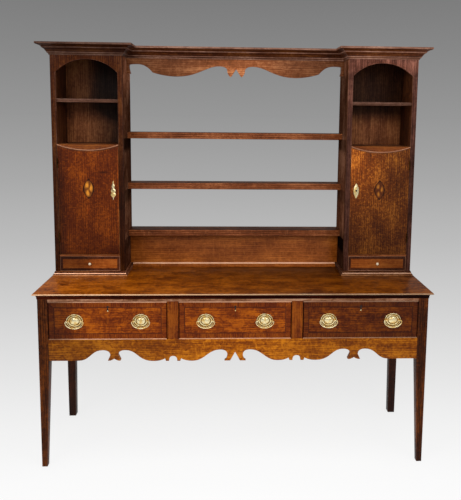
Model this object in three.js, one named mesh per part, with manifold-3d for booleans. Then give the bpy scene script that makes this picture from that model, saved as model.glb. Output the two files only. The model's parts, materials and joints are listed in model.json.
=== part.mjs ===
// An oak dresser: an open base of three drawers that carries a rack of shelves between two cupboards.
// Millimetres, +Z up, the front faces -Y. The origin is on the floor, under the middle of the dresser.

import * as THREE from 'three';
import { mergeVertices } from 'three/addons/utils/BufferGeometryUtils.js';
import Module from 'manifold-3d';

const wasm = await Module();
wasm.setup();

// Whole dresser
const dresserDepth = 550;
const middleHalfWidth = 582;
const cupboardWidth = 364;
const touchGap = 0.3;
const cutOverrun = 5;

// Table top: its edge is a thin round nose, with a hollow under it that runs on down the frame
const tableThickness = 15;
const tableNoseThickness = 7;
const tableSideOverhang = 19;
const tableFrontOverhang = 22;
const tableBackOverhang = 13;
const tableEdgeRound = 3.5;
const hollowHeight = 23;
const hollowReach = 10;
const hollowLip = 2;

// Legs
const frontLegWidth = 48;
const frontFootWidth = 26;
const backLegWidth = 46;
const backFootWidth = 38;
const legGrooveWidth = 4;
const legGrooveDepth = 2.5;
const legGrooveShares = [0.28, 0.5, 0.72];

// Base carcase
const legHeight = 543;
const apronHeight = 106;
const drawerBayHeight = 189;
const topRailHeight = 27;
const frameRailThickness = 22;
const middleBayHalfWidth = 275;
const muntinWidth = 53;
const endPanelThickness = 18;
const endPanelRecess = 6;
const baseBackThickness = 12;
const runnerThickness = 30;
const runnerBearing = 14;
const guideHeight = 26;
const guideThickness = 11;
const runnerTenon = 6;

// Shaped lower edge of the apron, across the half from the middle outwards
const apronNotchRise = 40;
const apronLugInner = 24;
const apronLugOuter = 52;
const apronNeckRise = 26;
const apronNeckInset = 14;
const apronCrownRise = 52;
const apronCrownOut = 36;
const apronBellyDrop = 4;
const apronBayShare = 0.19;
const apronTailShare = 0.652;
const apronTailTip = 31;
const apronTailNeck = 19;
const apronTailNotch = 9;
const apronArchHalfWidth = 20;
const apronArchRise = 21;
const apronArchLug = 19;
const apronCuspRise = 9;

// Drawers of the base
const drawerClearance = 1;
const drawerFrontThickness = 22;
const drawerBeadWidth = 3.5;
const drawerBeadProud = 2;
const drawerSideThickness = 12;
const drawerBottomThickness = 8;
const drawerBottomRaise = 8;
const drawerBoxInset = 3;
const drawerBoxTopInset = 6;
const drawerBackGap = 31;

// Oval handles
const handleDrop = 1.5;
const handleSetX = 143;
const sideHandleSetX = 158;
const plateHalfWidth = 40;
const plateHalfHeight = 34;
const plateRim = 2.4;
const plateHollow = 1.2;
const plateBoss = 5.4;
const postInset = 6;
const postRadius = 2.8;
const postHeadRadius = 4.2;
const postLength = 9.5;
const bailSpread = 9;
const bailDrop = 35;
const bailRadius = 2.1;
const bailThickening = 0.7;
const bailPinLength = 12;
const bailShoulderRadius = 4.5;
const bailHoleClearance = 0.4;
const plateRingShares = { rim: 0.95, hollow: 0.86, ringFoot: 0.7, ringTop: 0.62, dish: 0.5, boss: 0.3 };

// Cupboards of the rack
const cupboardFaceDepth = 230;
const cupboardStileWidth = 25;
const cupboardFrameThickness = 20;
const cupboardSideThickness = 18;
const cupboardBackThickness = 12;
const baseBoardThickness = 25;
const baseStepHeight = 10;
const baseReach = 12;
const baseUpperReach = 6;
const smallDrawerBayHeight = 80;
const floorThickness = 8;
const doorwayHeight = 581;
const nicheFloorThickness = 18;
const lowerNicheHeight = 232;
const nicheShelfThickness = 16;
const nicheShelfSetback = 8;
const upperNicheHeight = 134;
const archRise = 67;
const archHeadHeight = 66;
const railEndDepth = 5;
const railDip = 33;
const railBeadWidth = 6;
const railBeadProud = 2.5;
const shelfNosing = 3;

// Cupboard doors
const doorThickness = 18;
const doorGap = 2;
const doorTopBevel = 7;
const hingeHeight = 50;
const hingeInset = 90;
const hingeLeafThickness = 1;
const hingeLeafWidth = 15;
const hingeKnuckleRadius = 3.2;
const hingePinRadius = 1.4;
const hingePinClearance = 0.4;
const hingeTongueDepth = 2;

// Small drawers under the cupboards
const smallDrawerClearance = 1;
const smallDrawerFrontThickness = 14;
const smallDrawerSideThickness = 8;
const smallDrawerBottomThickness = 5;
const smallDrawerBackGap = 28;
const smallDrawerBoxInset = 3;
const smallDrawerBeadWidth = 2.5;
const smallDrawerBeadProud = 1.5;
const knobRadius = 7;
const knobNeckRadius = 3;
const knobLength = 15;
const knobShares = { neckEnd: 0.35, swell: 0.6, crown: 0.85, crownRadius: 0.9, tipRadius: 0.45 };

// Cornice and the frieze board under it
const corniceHeight = 59;
const corniceReach = 56.5;
const dustBoardThickness = 12;
const middleFaceDepth = 104;
const friezeThickness = 20;
const friezeHeight = 140;
const friezeApexRise = 43;
const friezePendantX = 30;
const friezePendantHalfWidth = 8;
const friezeNeckX = 47;
const friezeNeckRise = 30;
const friezeCrownOut = 45;
const friezeCrownRise = 57;
const friezeCuspRise = 20;
const friezeArchRise = 63;
const friezeShares = { belly: 0.546, cusp: 0.766, arch: 0.9, bracket: 0.976 };
const friezeBracketFoot = 22;
const friezeBracketRise = 12;

// Shelves and the low board behind the table top
const lowBackHeight = 161;
const lowerBayHeight = 226;
const middleBayHeight = 241;
const shelfThickness = 34;
const shelfReedDepth = 3;
const shelfGrooveWidth = 8;
const shelfGrooveDepth = 3;
const shelfGrooveSetback = 28;
const lowBackFaceDepth = 50;
const lowBackThickness = 14;
const lowMouldingReach = 15;

// Facets of round work
const curveSteps = 10;
const roundSides = 12;
const ovalSides = 28;
const bailSides = 8;
const bailSteps = 18;
const shoulderSteps = 2;

// Planes worked out from the sizes
const carcaseHalfWidth = middleHalfWidth + cupboardWidth;
const drawerSill = legHeight + apronHeight;
const drawerHead = drawerSill + drawerBayHeight;
const tableUnderside = drawerHead + topRailHeight;
const tableTop = tableUnderside + tableThickness;
const baseBoardTop = tableTop + baseBoardThickness;
const floorTop = baseBoardTop + smallDrawerBayHeight + floorThickness;
const nicheFloorTop = floorTop + doorwayHeight;
const nicheShelfTop = nicheFloorTop + lowerNicheHeight;
const archSpring = nicheShelfTop + upperNicheHeight;
const carcaseTop = archSpring + archRise + archHeadHeight;
const dresserTop = carcaseTop + dustBoardThickness;
const corniceBottom = dresserTop - corniceHeight;
const friezeBottom = carcaseTop - friezeHeight;
const lowerShelfTop = baseBoardTop + lowBackHeight + shelfThickness;
const middleShelfTop = lowerShelfTop + lowerBayHeight + shelfThickness;
const upperShelfTop = middleShelfTop + middleBayHeight + shelfThickness;
const frontY = -dresserDepth / 2;
const backY = dresserDepth / 2;
const frameFrontY = frontY + tableFrontOverhang;
const frameBackY = backY - tableBackOverhang;
const railBackY = frameFrontY + frameRailThickness;
const frontLegInnerX = carcaseHalfWidth - frontLegWidth;
const baseBackFrontY = frameBackY - baseBackThickness;
const muntinOuterX = middleBayHalfWidth + muntinWidth;
const muntinMiddleX = middleBayHalfWidth + muntinWidth / 2;
const postX = plateHalfWidth - postInset;
const bailHalfWidth = postX + bailSpread;
const cupboardFaceY = backY - cupboardFaceDepth;
const cupboardBodyY = cupboardFaceY + cupboardFrameThickness;
const cupboardBackFrontY = backY - cupboardBackThickness;
const apertureInnerX = middleHalfWidth + cupboardStileWidth;
const apertureOuterX = carcaseHalfWidth - cupboardStileWidth;
const cupboardMiddleX = (apertureInnerX + apertureOuterX) / 2;
const apertureHalfWidth = (apertureOuterX - apertureInnerX) / 2;
const middleFaceY = backY - middleFaceDepth;
const innerSideX = middleHalfWidth + cupboardSideThickness;
const outerSideX = carcaseHalfWidth - cupboardSideThickness;

const finishes = {
  oak: { color: 0x7a4216, roughness: 0.42 },
  darkOak: { color: 0x4a2812, roughness: 0.48 },
  paleOak: { color: 0x8a6238, roughness: 0.7 },
  brass: { color: 0xd2a44c, roughness: 0.28, metalness: 1 },
};

const dresser = new THREE.Group();

// Adds one named piece; side -1 stands the same piece on the other half of the dresser.
function add(name, finish, geometry, side = 1) {
  const piece = new THREE.Mesh(geometry, new THREE.MeshStandardMaterial(finishes[finish]));
  piece.name = name;
  piece.scale.x = side;
  dresser.add(piece);
}

// Booleans
function toSolid(geometry) {
  const bare = geometry.clone();
  for (const attribute of Object.keys(bare.attributes)) {
    if (attribute !== 'position') bare.deleteAttribute(attribute);
  }
  const merged = mergeVertices(bare);
  const mesh = new wasm.Mesh({
    numProp: 3,
    vertProperties: merged.attributes.position.array,
    triVerts: Uint32Array.from(merged.index.array),
  });
  return new wasm.Manifold(mesh);
}

function toGeometry(solid) {
  const mesh = solid.getMesh();
  const geometry = new THREE.BufferGeometry();
  geometry.setAttribute('position', new THREE.BufferAttribute(mesh.vertProperties, 3));
  geometry.setIndex(new THREE.BufferAttribute(mesh.triVerts, 1));
  return geometry;
}

function join(...geometries) {
  return toGeometry(geometries.map(toSolid).reduce((whole, solid) => whole.add(solid)));
}

function cut(geometry, ...tools) {
  return toGeometry(tools.map(toSolid).reduce((whole, tool) => whole.subtract(tool), toSolid(geometry)));
}

// A board between limits, each given as [low, high].
function block(x, y, z) {
  const board = new THREE.BoxGeometry(x[1] - x[0], y[1] - y[0], z[1] - z[0]);
  return board.translate((x[0] + x[1]) / 2, (y[0] + y[1]) / 2, (z[0] + z[1]) / 2);
}

// A shape drawn on X and Z, as seen from the front, made as thick as the limits of y.
function frontBoard(shape, y) {
  const options = { depth: y[1] - y[0], bevelEnabled: false, curveSegments: curveSteps };
  return new THREE.ExtrudeGeometry(shape, options).rotateX(Math.PI / 2).translate(0, y[1], 0);
}

// A section drawn on Y and Z, run along X.
function runAlongX(section, x) {
  const options = { depth: x[1] - x[0], bevelEnabled: false, curveSegments: curveSteps };
  const turn = new THREE.Matrix4().makeBasis(
    new THREE.Vector3(0, 1, 0),
    new THREE.Vector3(0, 0, 1),
    new THREE.Vector3(1, 0, 0),
  );
  return new THREE.ExtrudeGeometry(section, options).applyMatrix4(turn).translate(x[0], 0, 0);
}

// A plan outline run up along Z.
function runUp(outline, z) {
  const shape = new THREE.Shape(outline.map(([x, y]) => new THREE.Vector2(x, y)));
  return new THREE.ExtrudeGeometry(shape, { depth: z[1] - z[0], bevelEnabled: false }).translate(0, 0, z[0]);
}

// Plan outlines of equal corner count, one at each height, joined by walls and closed flat at both ends.
function stack(outlines, heights) {
  const corners = outlines[0].length;
  const positions = [];
  const index = [];
  outlines.forEach((outline, level) => {
    outline.forEach(([x, y]) => positions.push(x, y, heights[level]));
  });
  for (let level = 0; level + 1 < outlines.length; level += 1) {
    for (let corner = 0; corner < corners; corner += 1) {
      const here = level * corners + corner;
      const next = level * corners + (corner + 1) % corners;
      index.push(here, next, next + corners, here, next + corners, here + corners);
    }
  }
  const capFaces = (outline) => {
    const flat = outline.map(([x, y]) => new THREE.Vector2(x, y));
    return THREE.ShapeUtils.triangulateShape(flat, []);
  };
  const topStart = corners * (outlines.length - 1);
  capFaces(outlines[0]).forEach(([a, b, c]) => index.push(a, c, b));
  capFaces(outlines.at(-1)).forEach(([a, b, c]) => index.push(topStart + a, topStart + b, topStart + c));
  const geometry = new THREE.BufferGeometry();
  geometry.setAttribute('position', new THREE.Float32BufferAttribute(positions, 3));
  geometry.setIndex(index);
  return geometry;
}

// A moulded edge: the outline grown by each step's reach at that step's height.
function mouldedStack(outlineAt, steps) {
  return stack(steps.map(([reach]) => outlineAt(reach)), steps.map(([, height]) => height));
}

// A turned piece about the Y axis that stands out towards the front from the plane y.
function turned(profile, sides, x, y, z) {
  const points = profile.map(([radius, out]) => new THREE.Vector2(radius, out));
  return new THREE.LatheGeometry(points, sides).rotateX(Math.PI).translate(x, y, z);
}

// The points of a path that starts at one place and runs on through the drawing commands.
function pathPoints(start, draw) {
  const path = new THREE.Path();
  path.moveTo(...start);
  draw(path);
  return path.getPoints(curveSteps);
}

// A board whose lower edge is a half outline from the middle outwards, mirrored about X = 0.
function shapedBoard(halfEdge, halfWidth, topHeight, y) {
  const right = halfEdge.filter((point) => point.x > 0).concat(new THREE.Vector2(halfWidth, topHeight));
  const left = right.map((point) => new THREE.Vector2(-point.x, point.y)).reverse();
  const middle = halfEdge.filter((point) => point.x === 0);
  return frontBoard(new THREE.Shape([...left, ...middle, ...right]), y);
}

// Table top
function tableOutline(reach) {
  const x = carcaseHalfWidth + tableSideOverhang + reach;
  const y = frontY - reach;
  return [[-x, y], [x, y], [x, backY], [-x, backY]];
}

function hollowOutline(reach) {
  const x = carcaseHalfWidth + reach;
  return [[-x, frameFrontY - reach], [x, frameFrontY - reach], [x, frameBackY], [-x, frameBackY]];
}

function quarterSteps(makeStep) {
  return Array.from({ length: curveSteps / 2 + 1 }, (_, i) => makeStep(Math.PI * i / curveSteps));
}

function makeTableTop() {
  const roundedEdge = quarterSteps((angle) => [
    tableEdgeRound * (Math.cos(angle) - 1),
    tableTop - tableEdgeRound * (1 - Math.sin(angle)),
  ]);
  const noseBottom = tableTop - tableNoseThickness;
  const hollowBottom = noseBottom - hollowHeight;
  const nose = mouldedStack(tableOutline, [
    [-tableEdgeRound, noseBottom],
    [0, noseBottom + tableEdgeRound],
    ...roundedEdge.slice(1),
  ]);
  const hollowSteps = quarterSteps((angle) => [
    hollowLip + (hollowReach - hollowLip) * (1 - Math.cos(angle)),
    hollowBottom + hollowHeight * Math.sin(angle),
  ]);
  hollowSteps.push([hollowReach, noseBottom + tableEdgeRound]);
  const hollow = mouldedStack(hollowOutline, hollowSteps);
  const frame = block(
    [-carcaseHalfWidth, carcaseHalfWidth],
    [frameFrontY, frameBackY + cutOverrun],
    [hollowBottom - cutOverrun, tableUnderside],
  );
  return cut(join(nose, hollow), frame);
}

// Legs: the outer and front (or back) faces run straight down, the two inner faces taper below the apron.
function legOutline(width, outerY, inward) {
  const inner = carcaseHalfWidth - width;
  const innerY = outerY + inward * width;
  const low = Math.min(outerY, innerY);
  const high = Math.max(outerY, innerY);
  return [[inner, low], [carcaseHalfWidth, low], [carcaseHalfWidth, high], [inner, high]];
}

function makeLeg(width, footWidth, outerY, inward) {
  const foot = legOutline(footWidth, outerY, inward);
  const post = legOutline(width, outerY, inward);
  return stack([foot, post, post], [0, legHeight, tableUnderside]);
}

// The grooves follow the taper: each is a thin wedge of the same stack, narrowed with the foot.
function makeFrontLeg() {
  const grooves = legGrooveShares.map((share) => {
    const grooveAt = (width, height) => {
      const middle = carcaseHalfWidth - width * share;
      const half = legGrooveWidth / 2;
      const front = frameFrontY - cutOverrun;
      const outline = [
        [middle - half, front],
        [middle + half, front],
        [middle, frameFrontY + legGrooveDepth],
      ];
      return { outline, height };
    };
    const steps = [
      grooveAt(frontFootWidth, -cutOverrun),
      grooveAt(frontLegWidth, legHeight),
      grooveAt(frontLegWidth, tableUnderside + cutOverrun),
    ];
    return stack(steps.map((step) => step.outline), steps.map((step) => step.height));
  });
  return cut(makeLeg(frontLegWidth, frontFootWidth, frameFrontY, 1), ...grooves);
}

// Back board of the base, with the drawer runners and guides tenoned into it
function makeBaseBack() {
  const panelHalfWidth = carcaseHalfWidth - backLegWidth;
  const board = block(
    [-panelHalfWidth, panelHalfWidth],
    [baseBackFrontY, frameBackY],
    [legHeight, tableUnderside],
  );
  const runnerY = [railBackY, baseBackFrontY + runnerTenon];
  const runnerZ = [drawerSill - runnerThickness, drawerSill];
  const guideY = [railBackY + drawerClearance, runnerY[1]];
  const guideZ = [drawerSill - runnerTenon, drawerSill + guideHeight];
  const pieces = [board];
  for (const side of [-1, 1]) {
    const span = (near, far) => [side * near, side * far].sort((a, b) => a - b);
    const inner = span(middleBayHalfWidth - runnerBearing, muntinOuterX + runnerBearing);
    const outer = span(frontLegInnerX - runnerBearing, frontLegInnerX);
    const guide = span(muntinMiddleX - guideThickness, muntinMiddleX + guideThickness);
    pieces.push(block(inner, runnerY, runnerZ), block(outer, runnerY, runnerZ), block(guide, guideY, guideZ));
  }
  return join(...pieces);
}

// Apron: from the middle outwards a notch, a splayed lug, a bay, a small arch between two lugs,
// a second bay that ends in a fishtail, and a last bay that meets the leg.
function makeApron() {
  const base = legHeight;
  const belly = base - apronBellyDrop;
  const crown = base + apronCrownRise;
  const neck = base + apronNeckRise;
  const cusp = base + apronCuspRise;
  const neckX = apronLugOuter - apronNeckInset;
  const archX = muntinMiddleX;
  const archInner = archX - apronArchHalfWidth;
  const archOuter = archX + apronArchHalfWidth;
  const cuspInner = archInner - apronArchLug;
  const cuspOuter = archOuter + apronArchLug;
  const tailX = frontLegInnerX * apronTailShare;
  const bayHalfSpan = frontLegInnerX * apronBayShare;
  const swing = bayHalfSpan / 3;
  const halfEdge = pathPoints([0, base + apronNotchRise], (edge) => {
    edge.lineTo(apronLugInner, belly);
    edge.lineTo(apronLugOuter, belly);
    edge.quadraticCurveTo(neckX, base, neckX, neck);
    edge.quadraticCurveTo(neckX, crown, neckX + apronCrownOut, crown);
    edge.bezierCurveTo(
      neckX + apronCrownOut + swing, crown,
      cuspInner - swing - swing, belly,
      cuspInner - swing, belly,
    );
    edge.quadraticCurveTo(cuspInner - swing / 3, belly, cuspInner, cusp);
    edge.lineTo(cuspInner + apronCuspRise / 2, belly);
    edge.lineTo(archInner, belly);
    edge.quadraticCurveTo(archInner, base + apronArchRise, archX, base + apronArchRise);
    edge.quadraticCurveTo(archOuter, base + apronArchRise, archOuter, belly);
    edge.lineTo(cuspOuter - apronCuspRise / 2, belly);
    edge.lineTo(cuspOuter, cusp);
    edge.quadraticCurveTo(cuspOuter + swing / 3, belly, cuspOuter + swing, belly);
    edge.bezierCurveTo(
      tailX - bayHalfSpan + swing, belly,
      tailX - apronTailNeck - apronCrownOut - swing, crown,
      tailX - apronTailNeck - apronCrownOut, crown,
    );
    edge.quadraticCurveTo(tailX - apronTailNeck, crown, tailX - apronTailNeck, neck);
    edge.lineTo(tailX - apronTailTip, base);
    edge.quadraticCurveTo(tailX - apronTailNeck, belly, tailX, base + apronTailNotch);
    edge.quadraticCurveTo(tailX + apronTailNeck, belly, tailX + apronTailTip, base);
    edge.lineTo(tailX + apronTailNeck, neck);
    edge.quadraticCurveTo(tailX + apronTailNeck, crown, tailX + apronTailNeck + apronCrownOut, crown);
    edge.bezierCurveTo(
      tailX + apronTailNeck + apronCrownOut + swing, crown,
      tailX + bayHalfSpan - swing, base,
      tailX + bayHalfSpan, base,
    );
    edge.lineTo(frontLegInnerX, base);
  });
  return shapedBoard(halfEdge, frontLegInnerX, drawerSill, [frameFrontY, railBackY]);
}

function makeBase() {
  add('table_top', 'oak', makeTableTop());
  const frontLeg = makeFrontLeg();
  const backLeg = makeLeg(backLegWidth, backFootWidth, frameBackY, -1);
  const endPanelX = carcaseHalfWidth - endPanelRecess;
  const endPanel = block(
    [endPanelX - endPanelThickness, endPanelX],
    [frameFrontY + frontLegWidth, frameBackY - backLegWidth],
    [legHeight, tableUnderside],
  );
  const muntin = block(
    [middleBayHalfWidth, muntinOuterX],
    [frameFrontY, railBackY],
    [drawerSill, drawerHead],
  );
  for (const [name, side] of [['left', -1], ['right', 1]]) {
    add(`leg_front_${name}`, 'darkOak', frontLeg, side);
    add(`leg_back_${name}`, 'darkOak', backLeg, side);
    add(`end_panel_${name}`, 'oak', endPanel, side);
    add(`muntin_${name}`, 'oak', muntin, side);
  }
  const railX = [-frontLegInnerX, frontLegInnerX];
  add('top_rail', 'oak', block(railX, [frameFrontY, railBackY], [drawerHead, tableUnderside]));
  add('apron', 'oak', makeApron());
  add('base_back', 'paleOak', makeBaseBack());
}

// Drawer front with a raised bead round its face
function makeDrawerFront(x, z, frontFace, thickness, beadWidth, beadProud) {
  const board = block(x, [frontFace - beadProud, frontFace + thickness], z);
  const field = block(
    [x[0] + beadWidth, x[1] - beadWidth],
    [frontFace - beadProud - cutOverrun, frontFace],
    [z[0] + beadWidth, z[1] - beadWidth],
  );
  return cut(board, field);
}

// Open drawer box: sides and back stand on a bottom that is raised in its grooves
function makeDrawerBox(x, y, z, wall, bottomThickness, bottomRaise) {
  const body = block(x, y, z);
  const bottomTop = z[0] + bottomRaise + bottomThickness;
  const inner = [[x[0] + wall, x[1] - wall], [y[0] + wall, y[1] - wall]];
  const hollow = block(...inner, [bottomTop, z[1] + cutOverrun]);
  const under = block(...inner, [z[0] - cutOverrun, z[0] + bottomRaise]);
  return cut(body, hollow, under);
}

// Oval plate with raised rings, two posts and the holes that the bail turns in
function makeHandlePlate() {
  const profile = [
    [0, 0],
    [plateHalfWidth, 0],
    [plateHalfWidth, plateHollow],
    [plateHalfWidth * plateRingShares.rim, plateRim],
    [plateHalfWidth * plateRingShares.hollow, plateHollow],
    [plateHalfWidth * plateRingShares.ringFoot, plateHollow],
    [plateHalfWidth * plateRingShares.ringTop, plateRim + plateHollow],
    [plateHalfWidth * plateRingShares.dish, plateRim],
    [plateHalfWidth * plateRingShares.boss, plateBoss - plateHollow],
    [0, plateBoss],
  ];
  const plate = turned(profile, ovalSides, 0, 0, 0).scale(1, 1, plateHalfHeight / plateHalfWidth);
  const postProfile = [
    [0, 0],
    [postRadius, 0],
    [postRadius, postLength - postHeadRadius],
    [postHeadRadius, postLength - postHeadRadius / 2],
    [postHeadRadius, postLength + postHeadRadius / 2],
    [postRadius, postLength + postHeadRadius],
    [0, postLength + postHeadRadius],
  ];
  const posts = [-postX, postX].map((x) => turned(postProfile, roundSides, x, 0, 0));
  const hole = new THREE.CylinderGeometry(
    bailRadius + bailHoleClearance,
    bailRadius + bailHoleClearance,
    plateHalfWidth * 2 + postHeadRadius * 2,
    roundSides,
  ).rotateZ(Math.PI / 2).translate(0, -postLength, 0);
  return cut(join(plate, ...posts), hole);
}

// Bail: a pin turned inwards at each end, a round shoulder and a half oval that hangs below the posts
function makeBail() {
  const shoulderX = bailHalfWidth - bailShoulderRadius;
  const centreLine = new THREE.Path();
  centreLine.moveTo(shoulderX - bailPinLength, 0);
  centreLine.lineTo(shoulderX, 0);
  centreLine.absarc(shoulderX, -bailShoulderRadius, bailShoulderRadius, Math.PI / 2, 0, true);
  const quarter = Array.from({ length: bailSteps / 2 }, (_, i) => {
    const angle = Math.PI * (i + 1) / bailSteps;
    return new THREE.Vector2(
      bailHalfWidth * Math.cos(angle),
      -bailShoulderRadius - (bailDrop - bailShoulderRadius) * Math.sin(angle),
    );
  });
  const half = [...centreLine.getPoints(shoulderSteps), ...quarter];
  const mirrored = half.slice(0, -1).reverse().map((point) => new THREE.Vector2(-point.x, point.y));
  const points = [...half, ...mirrored];
  const positions = [];
  const index = [];
  points.forEach((point, i) => {
    const before = points[Math.max(i - 1, 0)];
    const after = points[Math.min(i + 1, points.length - 1)];
    const along = after.clone().sub(before).normalize();
    const radius = bailRadius + bailThickening * (point.y / bailDrop) ** 2;
    for (let side = 0; side < bailSides; side += 1) {
      const angle = Math.PI * 2 * side / bailSides;
      const across = radius * Math.cos(angle);
      positions.push(point.x - along.y * across, radius * Math.sin(angle), point.y + along.x * across);
    }
  });
  for (let ring = 0; ring + 1 < points.length; ring += 1) {
    for (let side = 0; side < bailSides; side += 1) {
      const here = ring * bailSides + side;
      const next = ring * bailSides + (side + 1) % bailSides;
      index.push(here, here + bailSides, next, next, here + bailSides, next + bailSides);
    }
  }
  const last = (points.length - 1) * bailSides;
  for (let side = 1; side + 1 < bailSides; side += 1) {
    index.push(0, side, side + 1, last, last + side + 1, last + side);
  }
  const geometry = new THREE.BufferGeometry();
  geometry.setAttribute('position', new THREE.Float32BufferAttribute(positions, 3));
  geometry.setIndex(index);
  return geometry;
}

function makeDrawers() {
  const plate = makeHandlePlate();
  const bail = makeBail();
  const z = [drawerSill + touchGap, drawerHead - drawerClearance];
  const boxY = [railBackY, baseBackFrontY - drawerBackGap];
  const handleHeight = (drawerSill + drawerHead) / 2 - handleDrop;
  const boxZ = [z[0], z[1] - drawerBoxTopInset];
  const walls = [drawerSideThickness, drawerBottomThickness, drawerBottomRaise];
  const bays = {
    left: [-frontLegInnerX, -muntinOuterX],
    middle: [-middleBayHalfWidth, middleBayHalfWidth],
    right: [muntinOuterX, frontLegInnerX],
  };
  for (const [name, bay] of Object.entries(bays)) {
    const x = [bay[0] + drawerClearance, bay[1] - drawerClearance];
    const boxX = [x[0] + drawerBoxInset, x[1] - drawerBoxInset];
    const front = makeDrawerFront(x, z, frameFrontY, drawerFrontThickness, drawerBeadWidth, drawerBeadProud);
    const box = makeDrawerBox(boxX, boxY, boxZ, ...walls);
    add(`drawer_${name}_front`, 'oak', front);
    add(`drawer_${name}_box`, 'paleOak', box);
    const middleX = (x[0] + x[1]) / 2;
    const setX = name === 'middle' ? handleSetX : sideHandleSetX;
    for (const [end, side] of [['a', -1], ['b', 1]]) {
      const handleX = middleX + side * setX;
      const platePlace = [handleX, frameFrontY, handleHeight];
      const bailPlace = [handleX, frameFrontY - postLength, handleHeight];
      add(`handle_plate_${name}_${end}`, 'brass', plate.clone().translate(...platePlace));
      add(`handle_bail_${name}_${end}`, 'brass', bail.clone().translate(...bailPlace));
    }
  }
}

// Everything of a cupboard is drawn on the right half; the left one is its mirror image.
function doorwayArc(offset) {
  const rise = railDip - railEndDepth;
  const radius = (apertureHalfWidth ** 2 + rise ** 2) / (2 * rise);
  return { centreHeight: nicheFloorTop - railDip + radius, radius: radius + offset };
}

// The arc below the rail between two places along X, offset downwards, drawn from low X to high X.
function drawRailArc(path, offset, x) {
  const { centreHeight, radius } = doorwayArc(offset);
  const angles = x.map((place) => -Math.acos((place - cupboardMiddleX) / radius));
  path.absarc(cupboardMiddleX, centreHeight, radius, angles[0], angles[1], false);
}

function railArcHeight(offset, x) {
  const { centreHeight, radius } = doorwayArc(offset);
  return centreHeight - Math.sqrt(radius ** 2 - (x - cupboardMiddleX) ** 2);
}

function makeFaceFrame() {
  const radius = (apertureHalfWidth ** 2 + archRise ** 2) / (2 * archRise);
  const centreHeight = archSpring + archRise - radius;
  const spring = Math.asin((archSpring - centreHeight) / radius);
  const shape = new THREE.Shape();
  shape.moveTo(middleHalfWidth, baseBoardTop);
  shape.lineTo(apertureInnerX, baseBoardTop);
  shape.lineTo(apertureInnerX, archSpring);
  shape.absarc(cupboardMiddleX, centreHeight, radius, Math.PI - spring, spring, true);
  shape.lineTo(apertureOuterX, baseBoardTop);
  shape.lineTo(carcaseHalfWidth, baseBoardTop);
  shape.lineTo(carcaseHalfWidth, carcaseTop);
  shape.lineTo(middleHalfWidth, carcaseTop);
  return frontBoard(shape, [cupboardFaceY, cupboardBodyY]);
}

// A board that fills the cupboard behind the face frame, with a tongue forward between the stiles
function cupboardBoard(z, tongueY) {
  const outline = [
    [innerSideX, cupboardBackFrontY],
    [innerSideX, cupboardBodyY],
    [apertureInnerX, cupboardBodyY],
    [apertureInnerX, tongueY],
    [apertureOuterX, tongueY],
    [apertureOuterX, cupboardBodyY],
    [outerSideX, cupboardBodyY],
    [outerSideX, cupboardBackFrontY],
  ];
  return runUp(outline, z);
}

// Niche floor, with the bowed rail and its bead on the front edge
function makeNicheFloor() {
  const x = [apertureInnerX, apertureOuterX];
  const rail = new THREE.Shape();
  rail.moveTo(x[0], nicheFloorTop);
  drawRailArc(rail, 0, x);
  rail.lineTo(x[1], nicheFloorTop);
  const bead = new THREE.Shape();
  bead.moveTo(x[0], railArcHeight(-railBeadWidth, x[0]));
  drawRailArc(bead, 0, x);
  drawBackAlongRail(bead, -railBeadWidth, x);
  const board = block(
    [innerSideX, outerSideX],
    [cupboardBodyY, cupboardBackFrontY],
    [nicheFloorTop - nicheFloorThickness, nicheFloorTop],
  );
  return join(
    board,
    frontBoard(rail, [cupboardFaceY, cupboardBodyY + shelfNosing]),
    frontBoard(bead, [cupboardFaceY - railBeadProud, cupboardFaceY + railBeadProud]),
  );
}

function drawBackAlongRail(path, offset, x) {
  const { centreHeight, radius } = doorwayArc(offset);
  const angles = x.map((place) => -Math.acos((place - cupboardMiddleX) / radius));
  path.absarc(cupboardMiddleX, centreHeight, radius, angles[1], angles[0], true);
}

function makeNicheShelf() {
  const z = [nicheShelfTop - nicheShelfThickness, nicheShelfTop];
  return cupboardBoard(z, cupboardFaceY + nicheShelfSetback);
}

// Base board, with its two-step moulding round the front and both sides
function baseBoardOutline(reach) {
  const y = cupboardFaceY - reach;
  const inner = middleHalfWidth - reach;
  const outer = carcaseHalfWidth + reach;
  return [[inner, y], [outer, y], [outer, backY], [inner, backY]];
}

function makeBaseBoard() {
  const stepTop = tableTop + baseStepHeight;
  const round = quarterSteps((angle) => [
    baseUpperReach * Math.cos(angle),
    stepTop + (baseBoardThickness - baseStepHeight) * Math.sin(angle),
  ]);
  return mouldedStack(baseBoardOutline, [
    [baseReach, tableTop],
    [baseReach, stepTop - (baseReach - baseUpperReach) / 2],
    [baseReach - (baseReach - baseUpperReach) / 2, stepTop],
    ...round,
  ]);
}

// Hinge line: between door and outer stile, a knuckle's radius in front of the face
const hingeX = apertureOuterX - doorGap / 2;
const hingeY = cupboardFaceY - hingeKnuckleRadius - touchGap;
const doorBottom = floorTop + doorGap;
const doorOuterX = apertureOuterX - doorGap;
const doorInnerX = apertureInnerX + doorGap;
const doorShoulderHeight = railArcHeight(doorGap, doorOuterX);
const hingeHeights = {
  upper: doorShoulderHeight - hingeInset,
  lower: doorBottom + hingeInset,
};

function upright(radius, z) {
  const height = z[1] - z[0];
  const rod = new THREE.CylinderGeometry(radius, radius, height, roundSides).rotateX(Math.PI / 2);
  return rod.translate(hingeX, hingeY, (z[0] + z[1]) / 2);
}

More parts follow.
